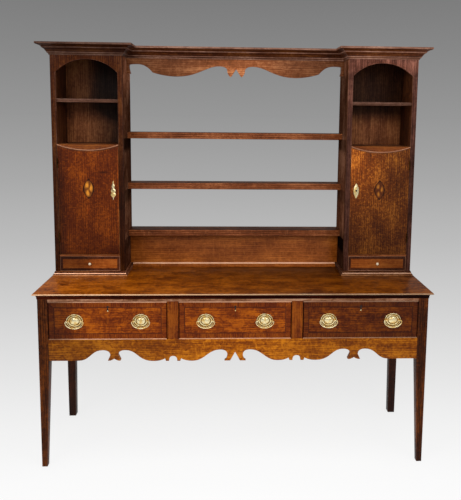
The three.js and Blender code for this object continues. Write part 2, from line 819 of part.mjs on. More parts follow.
// Carcase half of a hinge: leaf on the stile's edge, two knuckles and the pin through all three
function makeHinge(height) {
  const low = height - hingeHeight / 2;
  const high = height + hingeHeight / 2;
  const third = hingeHeight / 3;
  const leafY = [hingeY, cupboardFaceY + hingeLeafWidth];
  const leafX = [apertureOuterX - hingeLeafThickness, apertureOuterX];
  const notchY = [hingeY - cutOverrun, cupboardFaceY - touchGap / 2];
  const notch = block([hingeX - cutOverrun, hingeX + cutOverrun], notchY, [low + third, high - third]);
  const leaf = cut(block(leafX, leafY, [low, high]), notch);
  return join(
    leaf,
    upright(hingeKnuckleRadius, [low, low + third]),
    upright(hingeKnuckleRadius, [high - third, high]),
    upright(hingePinRadius, [low, high]),
  );
}

// Outline of the door as seen from the front, its scooped top edge a gap below the bowed rail
function doorOutline(gap) {
  const steps = curveSteps * 2;
  const scoop = Array.from({ length: steps + 1 }, (_, i) => {
    const x = doorOuterX + (doorInnerX - doorOuterX) * i / steps;
    return [x, railArcHeight(gap, x)];
  });
  return [[doorInnerX, doorBottom], [doorOuterX, doorBottom], ...scoop];
}

// Door, its top edge bevelled down to the back so that it clears the rail as it swings,
// with the middle knuckle of each hinge on its edge
function makeDoor() {
  const outlines = [doorOutline(doorGap + doorTopBevel), doorOutline(doorGap)];
  const board = stack(outlines, [-cupboardFaceY - doorThickness, -cupboardFaceY]).rotateX(Math.PI / 2);
  const pieces = [board];
  const bores = [];
  for (const height of Object.values(hingeHeights)) {
    const half = hingeHeight / 6 - touchGap;
    const z = [height - half, height + half];
    const tongueX = [hingeX - hingeKnuckleRadius, hingeX - hingePinRadius];
    const tongue = block(tongueX, [hingeY, cupboardFaceY + hingeTongueDepth], z);
    pieces.push(upright(hingeKnuckleRadius, z), tongue);
    const boreZ = [z[0] - cutOverrun, z[1] + cutOverrun];
    bores.push(upright(hingePinRadius + hingePinClearance, boreZ));
  }
  return cut(join(...pieces), ...bores);
}

function makeSmallDrawer() {
  const x = [apertureInnerX + smallDrawerClearance, apertureOuterX - smallDrawerClearance];
  const z = [baseBoardTop + touchGap, floorTop - floorThickness - smallDrawerClearance];
  const front = makeDrawerFront(
    x, z, cupboardFaceY, smallDrawerFrontThickness, smallDrawerBeadWidth, smallDrawerBeadProud,
  );
  const boxY = [
    cupboardFaceY + smallDrawerFrontThickness - smallDrawerBoxInset,
    cupboardBackFrontY - smallDrawerBackGap,
  ];
  const boxX = [x[0] + smallDrawerBoxInset, x[1] - smallDrawerBoxInset];
  const boxZ = [z[0], z[1] - smallDrawerBoxInset];
  const box = makeDrawerBox(boxX, boxY, boxZ, smallDrawerSideThickness, smallDrawerBottomThickness, 0);
  const knobProfile = [
    [0, 0],
    [knobNeckRadius, 0],
    [knobNeckRadius, knobLength * knobShares.neckEnd],
    [knobRadius, knobLength * knobShares.swell],
    [knobRadius * knobShares.crownRadius, knobLength * knobShares.crown],
    [knobRadius * knobShares.tipRadius, knobLength],
    [0, knobLength],
  ];
  const seatY = cupboardFaceY + smallDrawerBeadProud;
  const knob = turned(knobProfile, roundSides, cupboardMiddleX, seatY, (z[0] + z[1]) / 2);
  return join(front, box, knob);
}

function makeCupboards() {
  const sideY = [cupboardBodyY, backY];
  const sideZ = [baseBoardTop, carcaseTop];
  const innerX = [innerSideX, outerSideX];
  const pieces = {
    outer_side: ['darkOak', block([outerSideX, carcaseHalfWidth], sideY, sideZ)],
    inner_side: ['darkOak', block([middleHalfWidth, innerSideX], sideY, sideZ)],
    face_frame: ['darkOak', makeFaceFrame()],
    back: ['paleOak', block(innerX, [cupboardBackFrontY, backY], sideZ)],
    base_board: ['oak', makeBaseBoard()],
    floor: ['oak', cupboardBoard([floorTop - floorThickness, floorTop], cupboardFaceY)],
    niche_floor: ['oak', makeNicheFloor()],
    niche_shelf: ['oak', makeNicheShelf()],
    door: ['oak', makeDoor()],
    hinge_upper: ['brass', makeHinge(hingeHeights.upper)],
    hinge_lower: ['brass', makeHinge(hingeHeights.lower)],
    small_drawer: ['oak', makeSmallDrawer()],
  };
  for (const [side, sign] of [['left', -1], ['right', 1]]) {
    for (const [name, [finish, geometry]] of Object.entries(pieces)) {
      add(`cupboard_${side}_${name}`, finish, geometry, sign);
    }
  }
}

// Cornice: one moulding mitred round the two breaks, with the dust board closing it above
function rackOutline(reach) {
  const outer = carcaseHalfWidth + reach;
  const inner = middleHalfWidth - reach;
  const face = cupboardFaceY - reach;
  const middle = middleFaceY - reach;
  return [
    [-outer, face], [-inner, face], [-inner, middle], [inner, middle],
    [inner, face], [outer, face], [outer, backY], [-outer, backY],
  ];
}

function makeCornice() {
  const profileShares = [
    [0.08, 0],
    [0.08, 0.1],
    [0.2, 0.16],
    [0.2, 0.24],
    [0.27, 0.3],
    [0.34, 0.42],
    [0.46, 0.52],
    [0.56, 0.56],
    [0.56, 0.64],
    [0.66, 0.7],
    [0.78, 0.76],
    [0.92, 0.8],
    [1, 0.84],
    [1, 1],
  ];
  const steps = profileShares.map(([out, up]) => [corniceReach * out, corniceBottom + corniceHeight * up]);
  const carcase = runUp(rackOutline(touchGap), [corniceBottom - cutOverrun, carcaseTop]);
  return cut(mouldedStack(rackOutline, steps), carcase);
}

// Frieze board: a bracket at each end, an arch beside it, a long belly and a pair of pendants
// round a pointed opening in the middle.
function makeFrieze() {
  const base = friezeBottom;
  const archTop = base + friezeArchRise;
  const crown = base + friezeCrownRise;
  const cusp = base + friezeCuspRise;
  const bracket = base + friezeBracketRise;
  const crownX = friezeNeckX + friezeCrownOut;
  const bellyX = middleHalfWidth * friezeShares.belly;
  const cuspX = middleHalfWidth * friezeShares.cusp;
  const archX = middleHalfWidth * friezeShares.arch;
  const bracketX = middleHalfWidth * friezeShares.bracket;
  const bellyIn = (bellyX + crownX) / 2;
  const bellyOut = (bellyX + cuspX) / 2;
  const halfEdge = pathPoints([0, base + friezeApexRise], (edge) => {
    edge.quadraticCurveTo(
      friezePendantHalfWidth, base + friezeNeckRise,
      friezePendantX - friezePendantHalfWidth, base + friezePendantHalfWidth,
    );
    edge.lineTo(friezePendantX, base);
    edge.lineTo(friezePendantX + friezePendantHalfWidth, base + friezePendantHalfWidth);
    edge.quadraticCurveTo(friezeNeckX, base + friezeCuspRise, friezeNeckX, base + friezeNeckRise);
    edge.quadraticCurveTo(friezeNeckX, crown, crownX, crown);
    edge.bezierCurveTo(bellyIn - friezeCrownOut, crown, bellyIn, base, bellyX, base);
    edge.quadraticCurveTo(bellyOut, base, cuspX, cusp);
    edge.quadraticCurveTo(archX + archX - bracketX, archTop, archX, archTop);
    edge.quadraticCurveTo(bracketX, archTop, bracketX, crown);
    edge.quadraticCurveTo(
      bracketX, bracket + friezeBracketFoot,
      middleHalfWidth - friezeBracketFoot, bracket,
    );
    edge.lineTo(middleHalfWidth, bracket);
  });
  return shapedBoard(halfEdge, middleHalfWidth, carcaseTop, [middleFaceY, middleFaceY + friezeThickness]);
}

// Shelf with three reeds on its front edge and a V groove along its top, near the back
function makeShelf(top) {
  const reed = shelfThickness / 3;
  const section = new THREE.Shape();
  section.moveTo(middleFaceY + shelfReedDepth, top - shelfThickness);
  section.lineTo(backY, top - shelfThickness);
  section.lineTo(backY, top);
  section.lineTo(backY - shelfGrooveSetback, top);
  section.lineTo(backY - shelfGrooveSetback - shelfGrooveWidth / 2, top - shelfGrooveDepth);
  section.lineTo(backY - shelfGrooveSetback - shelfGrooveWidth, top);
  section.lineTo(middleFaceY + shelfReedDepth, top);
  for (let i = 0; i < 3; i += 1) {
    const high = top - reed * i;
    section.bezierCurveTo(
      middleFaceY - shelfReedDepth / 3, high,
      middleFaceY - shelfReedDepth / 3, high - reed,
      middleFaceY + shelfReedDepth, high - reed,
    );
  }
  return runAlongX(section, [-middleHalfWidth, middleHalfWidth]);
}

// Low board under the bottom shelf, with a moulding along its foot
function makeLowBack() {
  const faceY = backY - lowBackFaceDepth;
  const mouldingHalfWidth = middleHalfWidth - baseReach - touchGap;
  const section = new THREE.Shape();
  section.moveTo(faceY - lowMouldingReach, tableTop);
  section.lineTo(faceY + lowBackThickness, tableTop);
  section.lineTo(faceY + lowBackThickness, baseBoardTop);
  section.lineTo(faceY, baseBoardTop);
  section.quadraticCurveTo(
    faceY - lowMouldingReach / 2, baseBoardTop,
    faceY - lowMouldingReach / 2, tableTop + baseStepHeight,
  );
  section.lineTo(faceY - lowMouldingReach, tableTop + baseStepHeight);
  const board = block(
    [-middleHalfWidth, middleHalfWidth],
    [faceY, faceY + lowBackThickness],
    [baseBoardTop, lowerShelfTop - shelfThickness],
  );
  return join(runAlongX(section, [-mouldingHalfWidth, mouldingHalfWidth]), board);
}

function makeRack() {
  add('cornice', 'darkOak', makeCornice());
  add('frieze', 'darkOak', makeFrieze());
  const shelfTops = { upper: upperShelfTop, middle: middleShelfTop, lower: lowerShelfTop };
  for (const [name, top] of Object.entries(shelfTops)) {
    add(`shelf_${name}`, 'darkOak', makeShelf(top));
  }
  add('low_back', 'darkOak', makeLowBack());
}

makeBase();
makeDrawers();
makeCupboards();
makeRack();

export default dresser;
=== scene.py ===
"""An oak dresser dressed for its portrait: waxed oak, inlaid doors, crossbanded drawers and brass.

Sizes are real and in millimetres in this file; meshes are made in metres. +Z is up and the front
faces -Y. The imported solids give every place; the classes below add the finish of each sub-assembly.
"""

import json
import logging
import math
from contextlib import contextmanager
from dataclasses import dataclass
from enum import Enum, IntEnum
from typing import Callable, Iterator, Sequence

import bmesh
import bpy
import numpy as np
from mathutils import Matrix, Vector


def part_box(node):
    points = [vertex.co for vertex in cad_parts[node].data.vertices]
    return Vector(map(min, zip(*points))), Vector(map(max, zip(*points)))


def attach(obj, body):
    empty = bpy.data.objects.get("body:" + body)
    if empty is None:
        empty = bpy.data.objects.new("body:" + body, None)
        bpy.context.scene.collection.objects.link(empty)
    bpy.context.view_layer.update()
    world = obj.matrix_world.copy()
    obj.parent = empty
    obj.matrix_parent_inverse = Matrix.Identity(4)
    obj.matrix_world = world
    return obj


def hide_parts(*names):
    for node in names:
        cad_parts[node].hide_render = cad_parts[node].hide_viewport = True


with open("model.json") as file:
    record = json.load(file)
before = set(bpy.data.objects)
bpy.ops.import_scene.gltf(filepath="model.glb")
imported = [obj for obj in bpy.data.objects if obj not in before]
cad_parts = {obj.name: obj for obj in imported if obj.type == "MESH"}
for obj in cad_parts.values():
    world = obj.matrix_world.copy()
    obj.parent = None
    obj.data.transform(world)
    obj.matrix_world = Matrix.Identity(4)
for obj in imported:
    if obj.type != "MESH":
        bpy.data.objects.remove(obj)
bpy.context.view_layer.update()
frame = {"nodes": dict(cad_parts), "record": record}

LOG = logging.getLogger("dresser")
MM = 0.001
# Corners closer than this are one, and places closer than NEARBY lie on one plane, in millimetres.
MERGE_DISTANCE = 0.01
NEARBY = 0.05
# Numbers that keep the grain of one board from that of the next.
SEED_STEP = 7
SEED_SHIFT = np.array([613.0, 211.0, 97.0])
# Faces that meet at less than the flat angle are one face, and at more than the sharp one an edge.
FLAT_ANGLE = 0.6
SHARP_ANGLE = 32.0
# The part of a normal along an axis, for a face that looks along it, lies level, looks sideways,
# leans or stands.
FACING = 0.7
LEVEL = 0.9
SIDEWAYS = 0.6
LEANING = 0.5
STANDING = 0.3
# How far a noise strays from its middle, and the length of one wave of a wave texture at scale one.
NOISE_SPREAD = 0.26
WAVE_LENGTH = 0.314
# The darkest that polish and painted shade together may make a board.
DARKEST_PATINA_AND_SHADE = -0.92


class Grain(Enum):
    """Which axis the fibres of a board follow, as the order of axes (along, across, deep).

    A mitred moulding follows X, and turns to Y on its faces that look sideways.
    """

    ALONG_X = (0, 2, 1)
    ALONG_Y = (1, 0, 2)
    ALONG_Z = (2, 0, 1)
    MITRED = (0, 2, 1, "mitred")


class Side(Enum):
    """The half of the dresser that a piece stands on, with the sign of its X."""

    LEFT = -1
    RIGHT = 1

    @property
    def label(self) -> str:
        """The word used in node names."""
        return self.name.lower()


class PanelPart(IntEnum):
    """The parts of a drawer front, numbered as its material slots are."""

    FIELD = 0
    BEAD = 1
    BAND = 2
    STRING = 3
    BEAD_END = 4


def linear(hex_colour: str) -> tuple:
    """Turn an sRGB hex colour into linear light.

    Args:
        hex_colour: six hex digits after a hash sign.

    Returns:
        Red, green, blue and an alpha of one.
    """
    shares = [int(hex_colour[i:i + 2], 16) / 255 for i in (1, 3, 5)]
    return (*[s / 12.92 if s <= 0.04045 else ((s + 0.055) / 1.055) ** 2.4 for s in shares], 1.0)


def add_node(tree: bpy.types.NodeTree, kind: str, links: dict = None, **settings) -> bpy.types.Node:
    """Add one shader node with its settings and its inputs.

    Args:
        tree: the node tree that gets it.
        kind: the node type without its ShaderNode prefix.
        links: input name or number, to a socket that feeds it or to a constant.
        settings: attributes of the node.

    Returns:
        The new node.
    """
    node = tree.nodes.new("ShaderNode" + kind)
    for name, value in settings.items():
        setattr(node, name, value)
    for name, value in (links or {}).items():
        if isinstance(value, bpy.types.NodeSocket):
            tree.links.new(value, node.inputs[name])
        else:
            node.inputs[name].default_value = value
    return node


def set_ramp(node: bpy.types.Node, stops: Sequence) -> bpy.types.NodeSocket:
    """Write the stops of a colour ramp.

    Args:
        node: the ramp node.
        stops: pairs of position and sRGB hex colour, in rising order.

    Returns:
        The ramp's colour output.
    """
    elements = node.color_ramp.elements
    while len(elements) < len(stops):
        elements.new(1.0)
    for element, (position, colour) in zip(elements, stops):
        element.position = position
        element.color = linear(colour)
    return node.outputs["Color"]


def new_material(name: str) -> tuple:
    """Make an empty material with its output node.

    Args:
        name: the material's name.

    Returns:
        The material, its node tree and the output node.
    """
    material = bpy.data.materials.new(name)
    material.use_nodes = True
    tree = material.node_tree
    tree.nodes.clear()
    return material, tree, add_node(tree, "OutputMaterial")


@dataclass(frozen=True)
class Finish:
    """What all finishes share: each is made once, and is known by its name after that.

    Each kind of finish has a relief, which is its strength and its height in millimetres.
    """

    name: str

    def build(self) -> bpy.types.Material:
        """Make the material on the first call, and hand out the same one after that.

        Returns:
            The material.
        """
        known = bpy.data.materials.get(self.name)
        if known:
            return known
        material, tree, output = new_material(self.name)
        inputs, pattern = self.lay(tree)
        strength, height = self.relief
        bump = add_node(tree, "Bump", {"Height": pattern, "Strength": strength, "Distance": height * MM})
        surface = add_node(tree, "BsdfPrincipled", {**inputs, "Normal": bump.outputs["Normal"]})
        tree.links.new(surface.outputs["BSDF"], output.inputs["Surface"])
        return material

    def lay(self, tree: bpy.types.NodeTree) -> tuple:
        """Lay the finish's own nodes, as each finish does in its way.

        Args:
            tree: the node tree of its material.

        Returns:
            The shader's inputs, and the pattern that stands out in relief.
        """
        raise NotImplementedError(self.name)


@dataclass(frozen=True)
class Oak(Finish):
    """Waxed antique oak. Long pores and rings run with the fibres; rays show as pale flecks across them.

    The eye reads it by streaks a few millimetres wide, soft cloudy patches a hand wide and a low
    wax shine that breaks up along the grain. The shares of streaks, bands, clouds and mottle are
    the sizes of their lumps along, across and into the board over their own length and width. The
    run of the rings is how far their wave gets in one streak's width along the board, and in one
    ring's width across and into it.
    """

    dark: str
    body: str
    light: str
    roughness: float = 0.42
    shine: float = 0.1
    pore_depth: float = 0.5
    fleck: float = 0.35
    contrast: float = 1.0
    streak_share: float = 0.34
    band_share: float = 0.3
    cloud_share: float = 0.4
    mottle_share: float = 0.3
    ring_share: float = 0.1
    ring_width: float = 11.0
    ring_run: tuple = (0.05, WAVE_LENGTH, WAVE_LENGTH / 3)
    streak_width: float = 4.5
    streak_length: float = 130.0
    streak_shares: tuple = (1.0, 1.0, 2.0)
    band_shares: tuple = (3.0, 7.0, 9.0)
    cloud_size: float = 95.0
    cloud_shares: tuple = (1.6, 1.0, 1.0)
    mottle_size: float = 14.0
    mottle_shares: tuple = (1.3, 1.0, 1.0)
    pore_width: float = 1.3
    pore_length: float = 24.0
    pore_limits: tuple = (0.6, 0.7)
    fleck_length: float = 11.0
    fleck_width: float = 42.0
    fleck_limits: tuple = (0.58, 0.7)
    streak_limits: tuple = (0.35, 0.65)
    dulling: float = 0.08
    rubbing: float = 0.05
    relief_weights: tuple = (0.5, 0.5, -0.6)
    relief: tuple = (0.35, 0.35)

    def lay(self, tree: bpy.types.NodeTree) -> tuple:
        """Lay the wood: a sum of noises picks its colour, flecks and pores lie over it, and the
        patina attribute dims or brightens it.

        The colour is multiplied by one plus that attribute, which holds the fading of the polish and,
        on some boards, painted light and shade.

        Args:
            tree: the node tree of its material.

        Returns:
            The shader's inputs, and the pattern that stands out in relief.
        """
        grain = add_node(tree, "Attribute", attribute_name="grain").outputs["Vector"]
        patina = add_node(tree, "Attribute", attribute_name="patina").outputs["Fac"]

        def lumps(length: float, width: float, shares: Sequence, **layers) -> bpy.types.NodeSocket:
            """A pattern of lumps as long, wide and deep as length, width and width times their shares.

            Args:
                length: length of the lumps in millimetres.
                width: their width and depth.
                shares: what each of the three is multiplied by.
                layers: settings of the noise.

            Returns:
                The pattern.
            """
            scale = [1 / (size * share) for size, share in zip((length, width, width), shares)]
            place = add_node(tree, "Mapping", {"Vector": grain, "Scale": scale}).outputs["Vector"]
            return add_node(tree, "TexNoise", {"Vector": place, "Scale": 1.0, **layers}).outputs["Fac"]

        def weighted(patterns: Sequence, weights: Sequence) -> bpy.types.NodeSocket:
            """The sum of patterns times weights.

            Args:
                patterns: their sockets.
                weights: a number for each.

            Returns:
                The sum's socket.
            """
            total = 0.0
            for pattern, weight in zip(patterns, weights):
                links = {0: pattern, 1: weight, 2: total}
                total = add_node(tree, "Math", links, operation="MULTIPLY_ADD").outputs[0]
            return total

        even = (1.0, 1.0, 1.0)
        clouds = lumps(self.cloud_size, self.cloud_size, self.cloud_shares, Detail=3.0)
        streaks = lumps(self.streak_length, self.streak_width, self.streak_shares, Detail=4.0)
        bands = lumps(self.streak_length, self.streak_width, self.band_shares, Distortion=0.6)
        mottle = lumps(self.mottle_size, self.mottle_size, self.mottle_shares, Detail=2.0, Distortion=0.8)
        pores = lumps(self.pore_length, self.pore_width, even, Detail=1.0)
        flecks = lumps(self.fleck_length, self.fleck_width, even, Detail=2.0, Distortion=0.4)
        along, across, deep = self.ring_run
        scale = (along / self.streak_width, across / self.ring_width, deep / self.ring_width)
        place = add_node(tree, "Mapping", {"Vector": grain, "Scale": scale}).outputs["Vector"]
        rings = add_node(tree, "TexWave", {
            "Vector": place, "Scale": 1.0, "Distortion": 5.0, "Detail": 2.0, "Detail Scale": 0.8,
        }, bands_direction="Y", wave_profile="SAW").outputs["Fac"]

        shares = (self.streak_share, self.band_share, self.cloud_share, self.mottle_share, self.ring_share)
        middle = sum(shares) / 2
        reach = NOISE_SPREAD * math.hypot(*shares) / self.contrast
        centred = add_node(tree, "MapRange", {
            "Value": weighted((streaks, bands, clouds, mottle, rings), shares),
            "From Min": middle - reach, "From Max": middle + reach,
        }).outputs["Result"]
        stops = ((0.0, self.dark), (0.5, self.body), (1.0, self.light))
        colour = set_ramp(add_node(tree, "ValToRGB", {"Fac": centred}), stops)
        for pattern, limits, most, other in (
            (flecks, self.fleck_limits, self.fleck, self.light),
            (pores, self.pore_limits, self.pore_depth, self.dark),
        ):
            mask = add_node(tree, "MapRange", {
                "Value": pattern, "From Min": limits[0], "From Max": limits[1], "To Min": 0.0, "To Max": most,
            }).outputs["Result"]
            links = {0: mask, 6: colour, 7: linear(other)}
            colour = add_node(tree, "Mix", links, data_type="RGBA").outputs[2]
        # One factor scales the colour, for the fading of the polish and for painted light and shade.
        keep = add_node(tree, "Math", {0: patina, 1: 1.0}, operation="ADD").outputs[0]
        grey = add_node(tree, "CombineColor", {0: keep, 1: keep, 2: keep}).outputs[0]
        dimmed = add_node(tree, "Mix", {0: 1.0, 6: colour, 7: grey}, data_type="RGBA", blend_type="MULTIPLY")
        rough = add_node(tree, "MapRange", {
            "Value": streaks, "From Min": self.streak_limits[0], "From Max": self.streak_limits[1],
            "To Min": self.roughness + self.dulling, "To Max": self.roughness - self.rubbing,
        }).outputs["Result"]
        raised = weighted((streaks, clouds, mask), self.relief_weights)
        inputs = {
            "Base Color": dimmed.outputs[2], "Roughness": rough, "IOR": 1.5, "Specular IOR Level": self.shine,
        }
        return inputs, raised


@dataclass(frozen=True)
class Clouded(Finish):
    """A plain finish of two colours in clouds: one where their noise is low and one where it is high.

    Its size is that of the clouds in millimetres, and its limits are where each colour is pure.
    """

    low: str
    high: str
    size: float
    limits: tuple
    roughness: float
    ior: float = 1.5
    detail: float = 2.0
    relief: tuple = (0.2, 0.1)

    def lay(self, tree: bpy.types.NodeTree) -> tuple:
        """Lay the clouds, which give the colour and the relief.

        Args:
            tree: the node tree of its material.

        Returns:
            The shader's inputs, and the pattern that stands out in relief.
        """
        place = add_node(tree, "TexCoord").outputs["Object"]
        inputs = {"Vector": place, "Scale": 1 / (self.size * MM), "Detail": self.detail}
        clouds = add_node(tree, "TexNoise", inputs).outputs["Fac"]
        stops = list(zip(self.limits, (self.low, self.high)))
        colour = set_ramp(add_node(tree, "ValToRGB", {"Fac": clouds}), stops)
        return {"Base Color": colour, "Roughness": self.roughness, "IOR": self.ior}, clouds


@dataclass(frozen=True)
class Brass(Clouded):
    """Stamped and lacquered brass: bright pale gold where it is rubbed, browner in clouds of tarnish.

    The grime attribute, from nought to one, darkens the grooves: partly the dark polish
    left in them, partly painted shade.
    """

    # Colour of the grooves: dark polish with painted shade.
    dirt: str = "#8a6428"
    dulling: float = 0.08
    dull_limits: tuple = (0.35, 0.6)
    grime_dulling: float = 0.35

    def lay(self, tree: bpy.types.NodeTree) -> tuple:
        """Lay the metal; its tarnish and its darkened grooves are each duller than bare brass.

        Args:
            tree: the node tree of its material.

        Returns:
            The shader's inputs, and the pattern that stands out in relief.
        """
        inputs, tarnish = super().lay(tree)
        grime = add_node(tree, "Attribute", attribute_name="grime").outputs["Fac"]
        links = {0: grime, 6: inputs["Base Color"], 7: linear(self.dirt)}
        colour = add_node(tree, "Mix", links, data_type="RGBA").outputs[2]
        rough = add_node(tree, "MapRange", {
            "Value": tarnish, "From Min": self.dull_limits[0], "From Max": self.dull_limits[1],
            "To Min": self.roughness + self.dulling, "To Max": self.roughness,
        }).outputs["Result"]
        dulled = add_node(tree, "Math", {0: grime, 1: self.grime_dulling, 2: rough}, operation="MULTIPLY_ADD")
        return {"Base Color": colour, "Metallic": 1.0, "Roughness": dulled.outputs[0]}, tarnish


@dataclass(frozen=True)
class ShellInlay(Finish):
    """Veneers of satinwood, walnut and bog oak cut as a shell and scorched in hot sand at their edges.

    The tone attribute of the shell picks the veneer, from bog oak at nought to satinwood at one.
    """

    bog_oak: str = "#1d0c04"
    walnut: str = "#592a10"
    satinwood: str = "#c27a26"
    veneer_limits: tuple = (0.15, 0.55, 1.0)
    fibre_width: float = 1.6
    fibre_shares: tuple = (0.12, 1.0, 1.0)
    fibre_tone: float = 0.3
    roughness: float = 0.36
    shine: float = 0.1
    relief: tuple = (0.2, 0.15)

    def lay(self, tree: bpy.types.NodeTree) -> tuple:
        """Lay the veneers: the tone, shaken a little by the fibres, runs through their colours.

        Args:
            tree: the node tree of its material.

        Returns:
            The shader's inputs, and the pattern that stands out in relief.
        """
        tone = add_node(tree, "Attribute", attribute_name="tone").outputs["Fac"]
        grain = add_node(tree, "Attribute", attribute_name="grain").outputs["Vector"]
        scale = [share / self.fibre_width for share in self.fibre_shares]
        fibres = add_node(tree, "Mapping", {"Vector": grain, "Scale": scale}).outputs["Vector"]
        fibre = add_node(tree, "TexNoise", {"Vector": fibres, "Scale": 1.0}).outputs["Fac"]
        links = {0: fibre, 1: self.fibre_tone, 2: tone}
        shaken = add_node(tree, "Math", links, operation="MULTIPLY_ADD").outputs[0]
        stops = list(zip(self.veneer_limits, (self.bog_oak, self.walnut, self.satinwood)))
        colour = set_ramp(add_node(tree, "ValToRGB", {"Fac": shaken}), stops)
        return {"Base Color": colour, "Roughness": self.roughness, "Specular IOR Level": self.shine}, fibre


TOP_OAK = Oak("top_oak", "#5c2602", "#884204", "#b3600e", roughness=0.34, shine=0.16, contrast=1.6,
              streak_length=70.0, mottle_share=0.4, cloud_size=70.0)
# Painted shadow for the hollow under the top's nose and for the upright ends of the drawers' beads.
SHADOW_OAK = Oak("hollow_oak", "#180401", "#280902", "#431404", fleck=0.1, shine=0.02)
DRAWER_OAK = Oak("drawer_oak", "#581e01", "#7f3603", "#ab5606", contrast=1.7, mottle_share=0.4,
                 cloud_size=60.0)
BAND_OAK = Oak("crossband_oak", "#501a01", "#712d02", "#8d4506", streak_length=26.0, streak_width=3.0,
               contrast=1.4)
STRING_OAK = Oak("string_bog_oak", "#301007", "#4a1c0a", "#682f12", fleck=0.0)
# The top's nose: rubbed pale wood with a painted highlight.
WORN_NOSE_HIGHLIGHT_OAK = Oak("nose_oak", "#b88a64", "#e0b48a", "#f6d2ae", fleck=0.1, contrast=0.7)
# Rubbed pale wood with a painted highlight, for beads and crests that catch the light.
WORN_BEAD_HIGHLIGHT_OAK = Oak("bead_oak", "#b07a58", "#dca582", "#f0c4a0", fleck=0.1, contrast=0.7)
MUNTIN_OAK = Oak("muntin_oak", "#481700", "#6a2b02", "#8d4709", contrast=1.5)
TOP_RAIL_OAK = Oak("top_rail_oak", "#5b351d", "#895b3f", "#b38569", fleck=0.2, contrast=1.5)
APRON_OAK = Oak("apron_oak", "#5c2801", "#834301", "#ac650c", fleck=0.45, contrast=1.6, mottle_share=0.4,
                cloud_size=60.0)
LEG_OAK = Oak("leg_oak", "#280d01", "#431c02", "#653005", streak_width=5.0, contrast=1.6)
# Painted shade for the back legs.
SHADE_LEG_OAK = Oak("back_leg_oak", "#140301", "#260c02", "#3e1805")
RACK_OAK = Oak("rack_oak", "#200b04", "#3d1a08", "#643818", roughness=0.36, shine=0.06, fleck=0.2)
RACK_EDGE_OAK = Oak("rack_edge_oak", "#5a3828", "#876050", "#ab8470", fleck=0.1)
ROSE_RACK_OAK = Oak("rose_rack_oak", "#210f0a", "#3d2118", "#643e32", roughness=0.36, shine=0.06, fleck=0.2)
# Painted highlight on the upright fillets and rounded edges of the cornice.
FILLET_HIGHLIGHT_OAK = Oak("fillet_oak", "#472a1c", "#6c493a", "#94705e", fleck=0.1)
FRAME_EDGE_OAK = Oak("frame_edge_oak", "#33190e", "#563224", "#7a5444", fleck=0.1)
FRIEZE_OAK = Oak("frieze_oak", "#4a2610", "#6a3a1e", "#96623e", fleck=0.2)
SHELF_OAK = Oak("shelf_oak", "#4e250f", "#7d4222", "#a8673e")
# Painted shade for the tops and undersides of the shelves.
SHELF_SHADE_OAK = Oak("shelf_top_oak", "#2a1209", "#482512", "#6b3e22", fleck=0.2)
NICHE_OAK = Oak("niche_oak", "#3c1e10", "#683a20", "#945e38", roughness=0.6, fleck=0.15)
NICHE_SIDE_OAK = Oak("niche_side_oak", "#2a1208", "#4a2512", "#6b3c20", roughness=0.6, fleck=0.1)
NICHE_SHELF_OAK = Oak("niche_shelf_oak", "#321d12", "#503224", "#765040", fleck=0.1)
REAR_OAK = Oak("rear_oak", "#3e2312", "#5f3b1e", "#7d552e", roughness=0.75)
DOOR_OAK = Oak("door_oak", "#370e01", "#5b2202", "#9c4b09", contrast=0.75, streak_share=0.2, band_share=0.12,
               mottle_share=0.4, mottle_size=9.0, fleck=0.4, fleck_length=6.0, fleck_width=20.0)
RAIL_OAK = Oak("rail_oak", "#431b03", "#6a3108", "#8b4c16", fleck=0.2)
GOLD_DOOR_OAK = Oak("gold_door_oak", "#321303", "#562605", "#98581a", contrast=0.95, streak_share=0.2,
                    band_share=0.12, mottle_share=0.4, mottle_size=9.0, fleck=0.4, fleck_length=6.0,
                    fleck_width=20.0)
DOOR_EDGE_OAK = Oak("door_edge_oak", "#4e240d", "#8a4a1c", "#b5743a")
SMALL_DRAWER_OAK = Oak("small_drawer_oak", "#6f320b", "#994d18", "#b96b2a")
SMALL_BAND_OAK = Oak("small_crossband_oak", "#2c1209", "#4a2312", "#6b3a20", streak_length=20.0)
DOOR_RAIL_OAK = Oak("door_rail_oak", "#4e2410", "#7c431f", "#9a5c34")
# Painted highlight on the front of the base board's foot.
MOULDING_HIGHLIGHT_OAK = Oak("moulding_oak", "#5c3016", "#8a5530", "#c08a60")
LOW_BACK_OAK = Oak("low_back_oak", "#5f2a08", "#894614", "#b06425")
PALE_OAK = Oak("dry_oak", "#6d4c28", "#93703f", "#b18f5c", roughness=0.72)
SHADE_OAK = Oak("shade_oak", "#2c150c", "#4f2e1e", "#75503c", roughness=0.6, shine=0.0, fleck=0.1)
# Rubbed pale wood with a painted highlight, for the bead of the niche's rail and the small drawers' beads.
WORN_RAIL_BEAD_HIGHLIGHT_OAK = Oak("rail_bead_oak", "#6e422c", "#9c6a4e", "#bc8a6a", fleck=0.1, contrast=0.7)
BRASS = Brass("stamped_brass", "#f0ca7c", "#fff0be", size=16.0, limits=(0.38, 0.56), roughness=0.2,
              relief=(0.1, 0.2))
BLACK_BRASS = Brass("blackened_brass", "#2c1a0c", "#4a3018", size=16.0, limits=(0.38, 0.56), roughness=0.5,
                    relief=(0.1, 0.2))
# Turned and polished bone: creamy, with fine dark canals that have taken up dirt.
BONE = Clouded("turned_bone", "#b79c6c", "#efe2c2", size=2.0, limits=(0.34, 0.5), roughness=0.3, ior=1.54,
               detail=3.0, relief=(0.15, 0.1))
# Painted shadow for the dark of a keyhole, where only a little dusty iron shows.
KEYHOLE_SHADOW = Clouded("lock_hole", "#0c0604", "#2a1a10", size=3.0, limits=(0.4, 0.75), roughness=0.85)
DARK_SHELL = ShellInlay("shell_inlay_dark")
AMBER_SHELL = ShellInlay("shell_inlay_amber", satinwood="#d98a2c")


